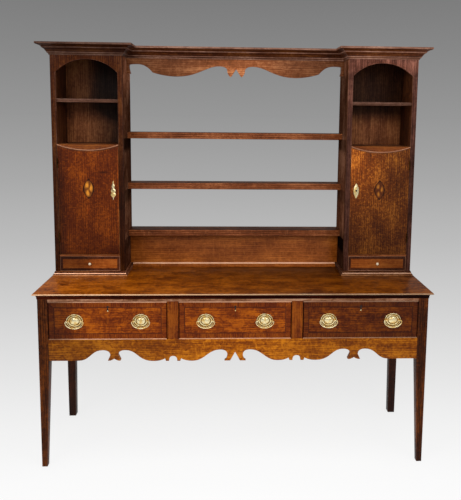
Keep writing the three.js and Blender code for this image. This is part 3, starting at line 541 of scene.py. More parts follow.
def grid_faces(rows: int, columns: int, wrap: bool = False) -> np.ndarray:
    """Quads over a grid of points stored row by row.

    Args:
        rows: number of rows.
        columns: number of points in a row.
        wrap: whether the last point of a row joins the first.

    Returns:
        An array of four vertex numbers for each face.
    """
    row = np.arange(rows - 1)[:, None] * columns
    column = np.arange(columns if wrap else columns - 1)[None, :]
    following = (column + 1) % columns
    corners = [row + column, row + following, row + columns + following, row + columns + column]
    return np.stack(corners, axis=-1).reshape(-1, 4)


def capped_rings(rings: Sequence) -> tuple:
    """A closed form from rings of four points each, with a face on its first and last ring.

    Args:
        rings: the points, by ring.

    Returns:
        Points and faces; the two end faces come last.
    """
    points = np.concatenate(rings)
    last = len(points) - 4
    ends = np.arange(4) + np.array([[0], [last]])
    return points, np.concatenate([grid_faces(len(rings), 4, wrap=True), ends])


def slab(front: np.ndarray, back: np.ndarray) -> tuple:
    """A closed shell between two grids of points of the same size.

    Args:
        front: points of the front, by row and column.
        back: points of the back, by row and column.

    Returns:
        The points and the faces.
    """
    rows, columns = front.shape[:2]
    points = np.concatenate([front.reshape(-1, 3), back.reshape(-1, 3)])
    faces = grid_faces(rows, columns)
    numbers = np.arange(rows * columns).reshape(rows, columns)
    rim = np.concatenate([numbers[0, :-1], numbers[:-1, -1], numbers[-1, :0:-1], numbers[:0:-1, 0]])
    following = np.roll(rim, -1)
    walls = np.stack([rim, following, following + rows * columns, rim + rows * columns], axis=-1)
    return points, np.concatenate([faces, faces[:, ::-1] + rows * columns, walls])


def leaf(foot: Sequence, half: np.ndarray, height: np.ndarray, rise: np.ndarray, depth: float) -> tuple:
    """A thin plate on a face that looks along -Y.

    A point lies its row's half width, times a number from -1 to 1, beside the middle line.

    Args:
        foot: the place on the face from which the heights count.
        half: half width of each row.
        height: height of each row.
        rise: how far the points stand out from the face, by row and column.
        depth: how far the plate's back lies behind the face.

    Returns:
        Points and faces.
    """
    x, y, z = foot
    across = np.linspace(-1, 1, rise.shape[1])
    front = np.stack([x + half[:, None] * across, y - rise, z + height[:, None] + 0 * rise], axis=-1)
    back = front.copy()
    back[..., 1] = y + depth
    return slab(front, back)


def swept(path: np.ndarray, radii: np.ndarray, sides: int) -> tuple:
    """A round rod along a path that lies in a plane of constant Y, with a ring of points at each step.

    Args:
        path: the points of the centre line.
        radii: the rod's radius at each point.
        sides: the number of sides.

    Returns:
        Points and faces, with the ends drawn in to a point.
    """
    along = np.gradient(path, axis=0)
    along /= np.linalg.norm(along, axis=1, keepdims=True)
    across = np.stack([-along[:, 2], np.zeros(len(path)), along[:, 0]], axis=-1)
    angles = np.linspace(0, 2 * np.pi, sides, endpoint=False)
    spread = np.concatenate([[0.0], radii, [0.0]])
    centres = np.concatenate([path[:1], path, path[-1:]])
    normals = np.concatenate([across[:1], across, across[-1:]])
    ring = np.cos(angles)[None, :, None] * normals[:, None, :]
    ring = ring + np.sin(angles)[None, :, None] * np.array([0.0, 1.0, 0.0])
    points = centres[:, None, :] + spread[:, None, None] * ring
    return points.reshape(-1, 3), grid_faces(len(centres), sides, wrap=True)


def turned(profile: np.ndarray, sides: int, centre: Sequence, squash: float = 1.0) -> tuple:
    """A turned form about a Y axis: each profile point gives a ring, and squash flattens it in Z.

    Args:
        profile: pairs of radius and distance out towards the front; it starts and ends on the axis.
        sides: points in a ring.
        centre: the place of the axis at the back of the form.
        squash: height of a ring over its width.

    Returns:
        Points and faces.
    """
    angles = np.linspace(0, 2 * np.pi, sides, endpoint=False)
    radius, out = np.asarray(profile, float).T
    x = centre[0] + radius[:, None] * np.cos(angles)
    y = centre[1] - out[:, None] + 0 * angles
    z = centre[2] + radius[:, None] * np.sin(angles) * squash
    return np.stack([x, y, z], axis=-1).reshape(-1, 3), grid_faces(len(radius), sides, wrap=True)


def smooth_profile(corners: Sequence, steps: int) -> np.ndarray:
    """Round off a turned form's profile with a cubic that runs through its corners.

    Args:
        corners: the points it runs through, the first of them at the back.
        steps: points added between two corners.

    Returns:
        The axis at the back, and then the points of the curve, ends included.
    """
    knots = np.asarray(corners, float)
    padded = np.concatenate([knots[:1], knots, knots[-1:]])
    share = np.linspace(0, 1, steps, endpoint=False)[None, :, None]
    before, start, end, after = [padded[i:len(padded) - 3 + i, None, :] for i in range(4)]
    bend = 2 * before - 5 * start + 4 * end - after
    twist = 3 * start - before - 3 * end + after
    curve = (2 * start + (end - before) * share + bend * share ** 2 + twist * share ** 3) / 2
    return np.concatenate([[(0.0, 0.0)], curve.reshape(-1, 2), knots[-1:]])


def joined(parts: Sequence) -> tuple:
    """Put several point and face arrays into one.

    Args:
        parts: pairs of points and faces.

    Returns:
        All points and all faces.
    """
    starts = np.cumsum([0] + [len(points) for points, _ in parts[:-1]])
    faces = [np.asarray(part[1]) + start for part, start in zip(parts, starts)]
    return np.concatenate([part[0] for part in parts]), np.concatenate(faces)


@contextmanager
def edited(mesh: bpy.types.Mesh, source: bpy.types.Mesh = None) -> Iterator[bmesh.types.BMesh]:
    """Open a mesh for editing and write it back at the end.

    Args:
        mesh: the mesh that is written.
        source: the mesh that is read, where that is another one.

    Returns:
        The open form.
    """
    form = bmesh.new()
    form.from_mesh(mesh if source is None else source)
    yield form
    form.to_mesh(mesh)
    form.free()


def new_mesh(name: str, shape: tuple, finishes: Sequence, kinds: np.ndarray = None) -> bpy.types.Mesh:
    """Make a closed mesh from points in millimetres, with doubles merged and faces turned outwards.

    Args:
        name: the mesh's name.
        shape: the points, and the vertex numbers of each face.
        finishes: its finishes, in the order of their numbers.
        kinds: the number of each face's finish, where it has several.

    Returns:
        The mesh, in metres.
    """
    points, faces = shape
    mesh = bpy.data.meshes.new(name)
    mesh.from_pydata((np.asarray(points, float) * MM).tolist(), [], np.asarray(faces).tolist())
    if kinds is not None:
        mesh.polygons.foreach_set("material_index", np.asarray(kinds, dtype=np.int32))
    for finish in finishes:
        mesh.materials.append(finish.build())
    with edited(mesh) as form:
        bmesh.ops.remove_doubles(form, verts=form.verts, dist=MERGE_DISTANCE * MM)
        bmesh.ops.recalc_face_normals(form, faces=form.faces)
    return mesh


def merged_copy(node: str, finishes: Sequence) -> bpy.types.Mesh:
    """Copy a CAD node's mesh with its corners merged and its flat faces made whole.

    Args:
        node: the node's name.
        finishes: the copy's finishes, the first of which all its faces get.

    Returns:
        The copy.
    """
    mesh = bpy.data.meshes.new(node + "_copy")
    with edited(mesh, frame["nodes"][node].data) as form:
        bmesh.ops.remove_doubles(form, verts=form.verts, dist=MERGE_DISTANCE * MM)
        angle = math.radians(FLAT_ANGLE)
        bmesh.ops.dissolve_limit(form, angle_limit=angle, verts=form.verts, edges=form.edges)
    for finish in finishes:
        mesh.materials.append(finish.build())
    return mesh


def read(rows: bpy.types.bpy_prop_collection, name: str, width: int = 0) -> np.ndarray:
    """Read one property of a mesh's vertices, corners or faces.

    Args:
        rows: the vertices, corners or faces, or the values of an attribute of theirs.
        name: the property.
        width: how many measures it has, or nought for one whole number.

    Returns:
        An array with a number or a row for each.
    """
    numbers = np.empty(len(rows) * max(width, 1), np.float32 if width else np.int32)
    rows.foreach_get(name, numbers)
    return numbers.reshape(-1, width) if width else numbers


def corner_places(mesh: bpy.types.Mesh) -> np.ndarray:
    """The place of each face corner, in millimetres."""
    return read(mesh.vertices, "co", 3)[read(mesh.loops, "vertex_index")] / MM


def face_normals(mesh: bpy.types.Mesh) -> tuple:
    """The normals of the faces, and how many corners each face has."""
    return read(mesh.polygons, "normal", 3), read(mesh.polygons, "loop_total")


def write_corners(mesh: bpy.types.Mesh, name: str, values: np.ndarray) -> None:
    """Store one number or one vector at each face corner.

    Args:
        mesh: the mesh that gets the attribute.
        name: the attribute's name, which the materials read.
        values: a number or a row of three for each corner.
    """
    kind, key = ("FLOAT_VECTOR", "vector") if values.ndim == 2 else ("FLOAT", "value")
    attribute = mesh.attributes.new(name, kind, "CORNER")
    attribute.data.foreach_set(key, values.astype(np.float32).ravel())


def lay_grain(mesh: bpy.types.Mesh, grain: Grain, seed: int, upright: np.ndarray = None) -> None:
    """Store where each corner lies in its board: along, across and into the fibres.

    Args:
        mesh: the mesh to mark.
        grain: the way the fibres run; mitred mouldings run along Y on the faces that look along X.
        seed: a number for the board, so that no two boards show the same figure.
        upright: for each face, whether its fibres stand upright instead.
    """
    normals, totals = face_normals(mesh)
    orders = np.tile(np.array(grain.value[:3]), (len(totals), 1))
    if grain is Grain.MITRED:
        orders[np.abs(normals[:, 0]) > SIDEWAYS] = Grain.ALONG_Y.value
    if upright is not None:
        orders[upright] = Grain.ALONG_Z.value
    per_corner = np.repeat(orders, totals, axis=0)
    along = np.take_along_axis(corner_places(mesh), per_corner, axis=1)
    write_corners(mesh, "grain", along + seed * SEED_SHIFT)


def soften(mesh: bpy.types.Mesh, width: float) -> bpy.types.Mesh:
    """Round the sharp edges of a board as handling has done, the rounding in its second finish: rubbed
    paler wood on most boards, and a painted highlight on the cornice.

    Args:
        mesh: the mesh, with its materials.
        width: width of the rounding in millimetres.

    Returns:
        A new mesh.
    """
    holder = bpy.data.objects.new("softening", mesh)
    bpy.context.scene.collection.objects.link(holder)
    bevel = holder.modifiers.new("worn edges", "BEVEL")
    bevel.width = width * MM
    bevel.segments = 2
    bevel.limit_method = "ANGLE"
    bevel.angle_limit = math.radians(SHARP_ANGLE)
    bevel.material = 1
    bpy.context.view_layer.update()
    evaluated = holder.evaluated_get(bpy.context.evaluated_depsgraph_get())
    softened = bpy.data.meshes.new_from_object(evaluated)
    bpy.data.objects.remove(holder)
    return softened


def cut(mesh: bpy.types.Mesh, axis: int, levels: Sequence) -> None:
    """Cut a mesh by planes, so that its corners can carry what changes along an axis.

    Args:
        mesh: the mesh, which is changed.
        axis: number of the axis that the planes stand across.
        levels: places of the planes in millimetres.
    """
    normal = Vector(np.eye(3)[axis])
    with edited(mesh) as form:
        for level in levels:
            bmesh.ops.bisect_plane(form, geom=[*form.verts, *form.edges, *form.faces],
                                   dist=MERGE_DISTANCE * MM, plane_co=normal * level * MM, plane_no=normal)


def place(mesh: bpy.types.Mesh, name: str, body: str, slot: str, nodes: Sequence = ()) -> None:
    """Put a finished mesh into the scene as a piece of the dresser.

    Args:
        mesh: the mesh, in the dresser's own frame.
        name: the piece's name.
        body: the CAD body that it moves with.
        slot: not used.
        nodes: CAD nodes that it stands for.
    """
    mesh.shade_smooth()
    mesh.set_sharp_from_angle(angle=math.radians(SHARP_ANGLE))
    mesh.update()
    piece = bpy.data.objects.new(name, mesh)
    bpy.context.scene.collection.objects.link(piece)
    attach(piece, body)
    if nodes:
        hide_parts(*nodes)
    LOG.info("%s: %d faces on %s", name, len(mesh.polygons), body)


def body_of(node: str) -> str:
    """The CAD body that a node rides on."""
    groups = frame["record"]["behaviour"]["bodies"]
    return next(body for body, members in groups.items() if node in members)


def stand_for(node: str, mesh: bpy.types.Mesh, ending: str) -> None:
    """Place a mesh instead of a CAD node, on the node's body.

    Args:
        node: the node.
        mesh: its finished mesh.
        ending: what the piece's name adds to the node's.
    """
    slots = {part["node"]: part["material_slot"] for part in frame["record"]["subparts"]}
    place(mesh, node + ending, body_of(node), slots[node], [node])


def node_box(node: str) -> np.ndarray:
    """Lowest and highest corner of a CAD node, in millimetres, as two rows."""
    return np.array(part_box(node)) / MM


@dataclass(frozen=True)
class Fade:
    """Polish that changes along one axis, and on some boards painted light and shade: -1 is black,
    0 as the wood is and 1 twice as bright.

    The value goes from start to end between two places on the axis, as three times the square
    less twice the cube of the share of the way.
    """

    start: float = 0.0
    end: float = 0.0
    near: float = 0.0
    far: float = 1.0
    axis: int = 0

    def cuts(self, steps: int = 10) -> tuple:
        """The axis of the change, and places along it where boards are cut to carry it."""
        changing = self.start != self.end
        return self.axis, np.linspace(self.near, self.far, steps) if changing else ()

    def at(self, places: np.ndarray) -> np.ndarray:
        """The value at places in millimetres, one for each row."""
        share = np.clip((places[:, self.axis] - self.near) / (self.far - self.near), 0, 1)
        return self.start + (self.end - self.start) * (3 * share ** 2 - 2 * share ** 3)


@dataclass(frozen=True)
class Mark:
    """A soft oval mark in the figure of a board, lighter above nought and darker below.

    Its tone falls off as a bell curve of the distance from its middle.
    """

    x: float
    z: float
    half_width: float
    half_height: float
    tone: float

    def cuts(self, steps: int = 14) -> tuple:
        """The X axis, and places on both sides of the mark where boards are cut to carry it."""
        reach = 2 * self.half_width
        return 0, np.linspace(self.x - reach, self.x + reach, steps)

    def at(self, places: np.ndarray) -> np.ndarray:
        """Tone at places in millimetres, one for each row."""
        offset = (places[:, (0, 2)] - (self.x, self.z)) / (self.half_width, self.half_height)
        return self.tone * np.exp(-(offset ** 2).sum(axis=1))


def summed(changes: Sequence, places: np.ndarray) -> np.ndarray:
    """The sum of several fades and marks at places in millimetres, one for each row, short of black."""
    return np.maximum(sum((change.at(places) for change in changes), np.zeros(len(places))), DARKEST_PATINA_AND_SHADE)


@dataclass(frozen=True)
class Gloom:
    """The shade that shelves cast on the board beside them."""

    tone: float = -0.7
    reach: float = 85.0
    growth: float = 42.5
    edge: float = 8.5

    def under(self, levels: Sequence) -> list:
        """Fades for each shelf: the gloom grows upwards from its reach, and ends at the shelf's edge.

        Args:
            levels: heights of the shelves' undersides.

        Returns:
            The fades, which are meant to be added up.
        """
        return [fade for level in levels for fade in (
            Fade(0.0, self.tone, level - self.reach, level - self.reach + self.growth, 2),
            Fade(0.0, -self.tone, level, level + self.edge, 2),
        )]


@dataclass(frozen=True)
class Rule:
    """Gives the faces of a board that pass a test of their centres and normals another finish."""

    finish: Oak
    test: Callable


@dataclass
class Joinery:
    """What every sub-assembly of boards shares: the wear on its edges and a count of its boards."""

    boards: int = 0
    edge_wear: float = 1.2
    light_wear: float = 0.8

    def dress(self, node: str, finish: Oak, grain: Grain, rules: Sequence = (), worn: Oak = None,
              wear: float = None, patina: Sequence = ()) -> None:
        """Copy a board, round its edges and give it wood.

        Args:
            node: the CAD node.
            finish: the wood of its faces.
            grain: the way its fibres run.
            rules: tests that give some of its faces another wood, among them painted highlights and shadows.
            worn: the wood of its rounded edges, where it differs from its faces': rubbed paler wood on
                most boards, a painted highlight on the cornice.
            wear: width of the rounded edges, where it differs from the sub-assembly's.
            patina: the fades and marks in its polish and in its painted light and shade, which add up.
        """
        self.boards += 1
        mesh = merged_copy(node, [finish, worn or finish, *[rule.finish for rule in rules]])
        mesh = soften(mesh, wear or self.edge_wear)
        for change in patina:
            cut(mesh, *change.cuts())
        centres = read(mesh.polygons, "center", 3) / MM
        normals = read(mesh.polygons, "normal", 3)
        kinds = read(mesh.polygons, "material_index")
        for number, rule in enumerate(rules, start=2):
            kinds[rule.test(centres, normals) & (kinds == 0)] = number
        mesh.polygons.foreach_set("material_index", kinds)
        lay_grain(mesh, grain, self.boards * SEED_STEP + len(node))
        write_corners(mesh, "patina", summed(patina, corner_places(mesh)))
        stand_for(node, mesh, "_oak")


@dataclass(frozen=True)
class FramedPanel:
    """A drawer front seen from the front: rounded cock bead, mitred crossband, dark string and field."""

    thickness: float
    bead_width: float
    bead_proud: float
    band_width: float
    string_width: float
    bead_steps: int = 6
    strips: int = 16

    def rings(self, face_y: float) -> np.ndarray:
        """Each ring of the section as its inset, its place in Y and its part of the panel.

        Args:
            face_y: plane of the band and the field.

        Returns:
            Rings from the back edge, over the bead, to the edge of the field. The bead is a half
            oval: its height is the sine and its inset the cosine of an angle.
        """
        angles = np.linspace(0, np.pi, self.bead_steps + 1)
        bead = [
            (self.bead_width / 2 * (1 - math.cos(a)), face_y - self.bead_proud * math.sin(a), PanelPart.BEAD)
            for a in angles
        ]
        band = self.bead_width + self.band_width
        return np.array([
            (0.0, face_y + self.thickness, PanelPart.FIELD), *bead,
            (band, face_y, PanelPart.BAND), (band + self.string_width, face_y, PanelPart.STRING),
        ])

    def mesh(self, name: str, box: np.ndarray, face_y: float, finishes: Sequence, seed: int,
             patina: Fade) -> bpy.types.Mesh:
        """Build the panel: rectangles drawn in by each ring's inset, joined corner to corner.

        The field is cut into upright strips, so that its polish can change along it.

        Args:
            name: the mesh's name.
            box: lowest and highest corner of the front.
            face_y: plane of the band and the field.
            finishes: the woods of its parts.
            seed: number of the board.
            patina: how its polish changes along it.

        Returns:
            The mesh.
        """
        rings = self.rings(face_y)
        inset, y, part = rings.T
        (low_x, _, low_z), (high_x, _, high_z) = box
        right, high = np.array([[0, 1, 1, 0], [0, 0, 1, 1]])
        x = low_x + (high_x - low_x) * right + inset[:, None] * (1 - 2 * right)
        z = low_z + (high_z - low_z) * high + inset[:, None] * (1 - 2 * high)
        shape = capped_rings(np.stack([x, y[:, None] + 0 * x, z], axis=-1))
        parts = np.repeat(part[1:].astype(int), 4)
        parts[:4] = PanelPart.FIELD
        at_end = np.arange(len(parts)) % 2 == 1
        upright = (parts == PanelPart.BAND) ^ at_end
        parts[(parts == PanelPart.BEAD) & at_end] = PanelPart.BEAD_END
        mesh = new_mesh(name, shape, finishes, np.append(parts, [PanelPart.FIELD] * 2))
        fibres = mesh.attributes.new("upright_fibres", "INT", "FACE")
        fibres.data.foreach_set("value", np.append(upright, [False] * 2).astype(np.int32))
        cut(mesh, 0, np.linspace(low_x, high_x, self.strips + 1)[1:-1])
        lay_grain(mesh, Grain.ALONG_X, seed, read(mesh.attributes["upright_fibres"].data, "value") > 0)
        write_corners(mesh, "patina", patina.at(corner_places(mesh)))
        return mesh


@dataclass(frozen=True)
class OvalHandle:
    """A stamped oval plate with a bail that hangs from two posts."""

    end: str
    plate_sides: int = 72
    post_sides: int = 20
    profile_steps: int = 3
    half_width: float = 40.0
    half_height: float = 34.0
    boss: float = 5.6
    groove: float = 1.0
    crest: float = 3.2
    post_x: float = 34.0
    post_radius: float = 2.6
    head_radius: float = 4.2
    post_length: float = 9.5
    bail_half_width: float = 43.0
    bail_drop: float = 35.0
    bail_radius: float = 2.1
    bail_thickening: float = 0.7
    shoulder_radius: float = 4.5
    shoulder_steps: int = 6
    pin_length: float = 12.0
    pin_steps: int = 4
    bail_sides: int = 14
    bail_steps: int = 56
    ring_shares: tuple = ((1.0, 0.4), (0.975, 0.9), (0.91, 0.9), (0.88, 0.3), (0.8, 0.28), (0.765, 0.95),
                          (0.645, 1.05), (0.61, 0.35), (0.54, 0.3), (0.5, 0.75), (0.4, 0.8), (0.32, 1.35),
                          (0.18, 1.68))

    def plate(self) -> None:
        """Make the plate and its posts.

        The plate is an oval turned form. Each of its rings has a share of the half width and a share
        of the crest's height; the dark polish and painted shade of the grooves lie thicker the lower a
        place is under the middle of the crests.
        """
        node = "handle_plate_" + self.end
        low, high = node_box(node)
        x, _, z = (low + high) / 2
        back = high[1]
        rings = np.array(self.ring_shares) * (self.half_width, self.crest)
        profile = smooth_profile([(self.half_width, 0.0), *rings, (0.0, self.boss)], self.profile_steps)
        parts = [turned(profile, self.plate_sides, (x, back, z), self.half_height / self.half_width)]
        neck = self.post_length - self.head_radius
        head = self.post_length + self.head_radius
        bulge = [(self.head_radius, (self.post_length + height) / 2) for height in (neck, head)]
        shaft = [(self.post_radius, height) for height in (0.0, neck, head)]
        profile = smooth_profile([*shaft[:2], *bulge, shaft[2], (0.0, head)], self.profile_steps)
        for sign in (-1, 1):
            parts.append(turned(profile, self.post_sides, (x + sign * self.post_x, back, z)))
        mesh = new_mesh(node + "_stamped", joined(parts), [BRASS])
        rise = back - corner_places(mesh)[:, 1]
        bare_rise = (self.groove + self.crest) / 2
        write_corners(mesh, "grime", np.clip((bare_rise - rise) / (bare_rise - self.groove), 0, 1))
        stand_for(node, mesh, "_brass")

    def bail(self) -> None:
        """Make the bail: pins turned inwards, round shoulders and a half oval, thicker towards its middle."""
        node = "handle_bail_" + self.end
        low, high = node_box(node)
        middle_x, y, _ = (low + high) / 2
        axis_z = high[2] - self.bail_radius
        shoulder_x = self.bail_half_width - self.shoulder_radius
        pin = np.linspace(shoulder_x - self.pin_length, shoulder_x, self.pin_steps)[:-1]
        turn = np.linspace(np.pi / 2, 0, self.shoulder_steps)
        sweep = np.linspace(0, np.pi, self.bail_steps)[1:-1]
        drop = self.bail_drop - self.shoulder_radius
        right_x = np.concatenate([pin, shoulder_x + self.shoulder_radius * np.cos(turn)])
        right_z = np.concatenate([0 * pin, self.shoulder_radius * (np.sin(turn) - 1)])
        x = np.concatenate([right_x, self.bail_half_width * np.cos(sweep), -right_x[::-1]])
        z = np.concatenate([right_z, -self.shoulder_radius - drop * np.sin(sweep), right_z[::-1]])
        path = np.stack([middle_x + x, np.full(len(x), y), axis_z + z], axis=-1)
        radii = self.bail_radius + self.bail_thickening * (z / self.bail_drop) ** 2
        stand_for(node, new_mesh(node + "_cast", swept(path, radii, self.bail_sides), [BRASS]), "_brass")


@dataclass(frozen=True)
class Keyhole:
    """A keyhole: a round head over a flared slot, laid on the face as a dark sheet of painted shadow,
    with a small brass drop at its foot.

    The flare is the slot's width at its foot and at its head, and each point of the drop's profile
    has a share of the drop's radius and one of the hole's rise, both over their whole.
    """

    head_radius: float = 5.2
    slot_half_width: float = 3.0
    height: float = 23.0
    flare_shares: tuple = (1.2, 0.6)
    proud: float = 0.25
    columns: int = 5
    steps: int = 24
    drop_radius: float = 3.2
    drop_centre_share: float = 0.6
    drop_sides: int = 20
    drop_shares: tuple = ((0.0, -1.0), (1.0, -1.0), (1.0, 1.0), (0.7, 5.0), (0.0, 7.0))

    def half_widths(self, height: np.ndarray) -> np.ndarray:
        """Half width of the hole: a circle above, and a slot that flares below.

        Args:
            height: heights over its foot.

        Returns:
            The half width at each height.
        """
        head = self.height - self.head_radius
        circle = np.sqrt(np.clip(self.head_radius ** 2 - (height - head) ** 2, 0, None))
        slot = self.slot_half_width * np.interp(height / self.height, (0, 1), self.flare_shares)
        return np.where(height > head, circle, np.maximum(circle, slot))

    def make(self, name: str, body: str, x: float, y: float, foot_z: float) -> None:
        """Place the hole, a thin dark sheet of painted shadow, and its drop on a face that looks along -Y.

        Args:
            name: start of the pieces' names.
            body: the body they ride on.
            x: middle of the hole.
            y: plane of the face.
            foot_z: height of the hole's foot.
        """
        height = np.linspace(0, self.height, self.steps)
        rise = np.full((self.steps, self.columns), self.proud)
        hole = leaf((x, y, foot_z), self.half_widths(height), height, rise, self.proud)
        place(new_mesh(name + "_hole", hole, [KEYHOLE_SHADOW]), name + "_hole", body, "dark_oak")
        profile = np.array(self.drop_shares) * (self.drop_radius, self.proud)
        drop = turned(profile, self.drop_sides, (x, y, foot_z - self.drop_radius * self.drop_centre_share))
        place(new_mesh(name + "_drop", drop, [BRASS]), name + "_drop", body, "brass")


@dataclass(frozen=True)
class Escutcheon:
    """A cast brass lock plate on a door: its outline is a half width that changes with height."""

    x: float
    foot_z: float
    height: float
    half_widths: tuple
    hole_radius: float
    hole_share: float
    dome: float = 1.6
    edge: float = 0.5
    hole_proud: float = 0.3
    hole_sides: int = 20
    steps: int = 40
    columns: int = 9

    def make(self, name: str, body: str, y: float) -> None:
        """Place the plate, domed as one less the square of the way across, and its keyhole, a dark plug
        of painted shadow.

        Args:
            name: start of the pieces' names.
            body: the body they ride on.
            y: plane of the door's face.
        """
        share = np.linspace(0, 1, self.steps)
        half = np.interp(share, np.linspace(0, 1, len(self.half_widths)), self.half_widths)
        across = np.linspace(-1, 1, self.columns)
        rise = self.edge + self.dome * (1 - across ** 2) * half[:, None] / max(self.half_widths)
        plate = leaf((self.x, y, self.foot_z), half, share * self.height, rise, self.edge)
        place(new_mesh(name + "_plate", plate, [BRASS]), name + "_plate", body, "brass")
        depth = self.edge + self.dome + self.hole_proud
        profile = [(0.0, 0.0), (self.hole_radius, 0.0), (self.hole_radius, depth), (0.0, depth)]
        centre = (self.x, y, self.foot_z + self.hole_share * self.height)
        hole = turned(profile, self.hole_sides, centre)
        place(new_mesh(name + "_keyhole", hole, [KEYHOLE_SHADOW]), name + "_keyhole", body, "dark_oak")


@dataclass(frozen=True)
class Shell:
    """A pointed oval let into a door, with the lobes of a shell that curl round its middle."""

    middle_z: float = 1343.0
    half_width: float = 29.0
    half_height: float = 54.0
    border: float = 0.14
    proud: float = 0.2
    pointed: float = 1.8
    lobes: int = 3
    lobe_turn: float = -0.1
    curl: float = 1.6
    lobe_reach: float = 0.42
    lobe_spread: float = 0.26
    ground: float = 0.42
    soft_edge: float = 0.1
    least_width: float = 0.001
    rows: int = 49
    columns: int = 41

    def half_shares(self, up: np.ndarray) -> np.ndarray:
        """The outline of two arcs that meet in points: one less a power of the way up."""
        return 1 - np.abs(up) ** self.pointed

    def make(self, name: str, body: str, x: float, y: float, finish: ShellInlay, glow: float) -> None:
        """Place the inlay on a face that looks along -Y.

        The tone of a corner is a cosine of its angle round the middle, which curls with its distance
        from there, times a bell curve of that distance, and it darkens towards the border.

        Args:
            name: the piece's name.
            body: the body it rides on.
            x: middle of the oval.
            y: plane of the face.
            finish: its veneers.
            glow: how bright the lobes are.
        """
        up = np.linspace(-1, 1, self.rows)
        rise = np.full((self.rows, self.columns), self.proud)
        half = self.half_width * self.half_shares(up)
        oval = leaf((x, y, self.middle_z), half, up * self.half_height, rise, self.proud)
        mesh = new_mesh(name, oval, [finish])
        lay_grain(mesh, Grain.ALONG_Z, self.lobes)
        places = corner_places(mesh)
        across = (places[:, 0] - x) / self.half_width
        height = (places[:, 2] - self.middle_z) / self.half_height
        offset = np.abs(across) / np.clip(self.half_shares(height), self.least_width, None)
        reach = np.hypot(across, height)
        angle = np.arctan2(height, across)
        lobe = (1 + np.cos(self.lobes * (angle - self.lobe_turn) - self.curl * reach)) / 2
        bell = np.exp(-((reach - self.lobe_reach) / self.lobe_spread) ** 2)
        inside = np.clip((1 - self.border - np.maximum(offset, np.abs(height))) / self.soft_edge, 0, 1)
        write_corners(mesh, "tone", inside * glow * (self.ground + (1 - self.ground) * lobe * bell))
        place(mesh, name, body, "dark_oak")


@dataclass
class Base(Joinery):
    """The open base: top, legs, end panels, rails, muntins and the shaped apron."""

    leg_wear: float = 1.0
    nose_thickness: float = 7.0
    nose_rise: float = 0.93
    nose_lean: float = 0.2
    # The top's wood darkens from left to right; the fade along Y is a painted shadow of the rack over the
    # back of the top.
    top_patina: tuple = (Fade(0.13, -0.49, -965.0, 520.0), Fade(0.06, -0.3, -150.0, 200.0, 1))
    apron_patina: tuple = (Mark(0.0, 600.0, 350.0, 500.0, 0.5), Fade(-0.28, 0.0, -850.0, -500.0))

    def make(self) -> None:
        """Dress every board of the base.

        The nose of the top is rubbed pale and has a painted highlight; the hollow under it has a painted
        shadow.
        """
        nose_foot = node_box("table_top")[1][2] - self.nose_thickness
        hollow = Rule(SHADOW_OAK, lambda c, n: c[:, 2] < nose_foot)
        nose = Rule(WORN_NOSE_HIGHLIGHT_OAK, lambda c, n: (n[:, 2] < self.nose_rise) & (n[:, 1] < -self.nose_lean))
        self.dress("table_top", TOP_OAK, Grain.MITRED, [hollow, nose], wear=self.light_wear,
                   patina=self.top_patina)
        for side in Side:
            self.dress("leg_front_" + side.label, LEG_OAK, Grain.ALONG_Z, wear=self.leg_wear)
            # The back legs are darkened as painted shade; their rounded edges keep the front legs' wood.
            self.dress("leg_back_" + side.label, SHADE_LEG_OAK, Grain.ALONG_Z, worn=LEG_OAK)
            self.dress("end_panel_" + side.label, LEG_OAK, Grain.ALONG_Y)
            self.dress("muntin_" + side.label, MUNTIN_OAK, Grain.ALONG_Z, wear=self.light_wear)
        self.dress("top_rail", TOP_RAIL_OAK, Grain.ALONG_X)
        self.dress("apron", APRON_OAK, Grain.ALONG_X, patina=self.apron_patina)
        self.dress("base_back", PALE_OAK, Grain.ALONG_X, wear=self.light_wear)


@dataclass
class DrawerRow(Joinery):
    """The three drawers of the base, with their crossbanded fronts, keyholes and oval handles."""

    front: FramedPanel = FramedPanel(
        thickness=22.0, bead_width=4.2, bead_proud=2.0, band_width=23.0, string_width=4.0)
    # The beads across the top and the foot are pale with a painted highlight; their upright ends are painted
    # shadow.
    finishes: tuple = (DRAWER_OAK, WORN_BEAD_HIGHLIGHT_OAK, BAND_OAK, STRING_OAK, SHADOW_OAK)
    keyhole_drop: float = 44.0
    seed: int = 31
    seed_step: int = 5
    patinas: tuple = (("left", Fade(-0.6, 0.0, -870.0, -700.0)), ("middle", Fade(-0.04, 0.0, -274.0, 274.0)),
                      ("right", Fade(-0.45, -0.62, 329.0, 800.0)))

    def make(self) -> None:
        """Build each drawer's front and dress its box and brass."""
        for number, (name, patina) in enumerate(self.patinas):
            node = f"drawer_{name}_front"
            box = node_box(node)
            low, high = box
            face_y = low[1] + self.front.bead_proud
            seed = self.seed + number * self.seed_step
            mesh = self.front.mesh(node + "_banded", box, face_y, self.finishes, seed, patina)
            stand_for(node, mesh, "_oak")
            self.dress(f"drawer_{name}_box", PALE_OAK, Grain.ALONG_Y, wear=self.light_wear)
            Keyhole().make(f"drawer_{name}_keyhole", "drawer_" + name, (low[0] + high[0]) / 2, face_y,
                           high[2] - self.keyhole_drop)
            for end in ("a", "b"):
                handle = OvalHandle(f"{name}_{end}")
                handle.plate()
                handle.bail()


@dataclass(frozen=True)
class Ageing:
    """What time and its maker gave one cupboard and not the other, and the light and shade painted on it.

    The fades run along its inner side, face frame, niche, base board and small drawer, and the
    marks lie in the veneer of its door. The fades of the inner side and of the niche are painted light
    and shade.
    """

    frame_oak: Oak
    door_oak: Oak
    inlay: ShellInlay
    inlay_glow: float
    lock: Escutcheon
    side_fades: tuple
    frame_fades: tuple
    niche_fades: tuple
    base_fade: Fade
    small_fade: Fade
    marks: tuple


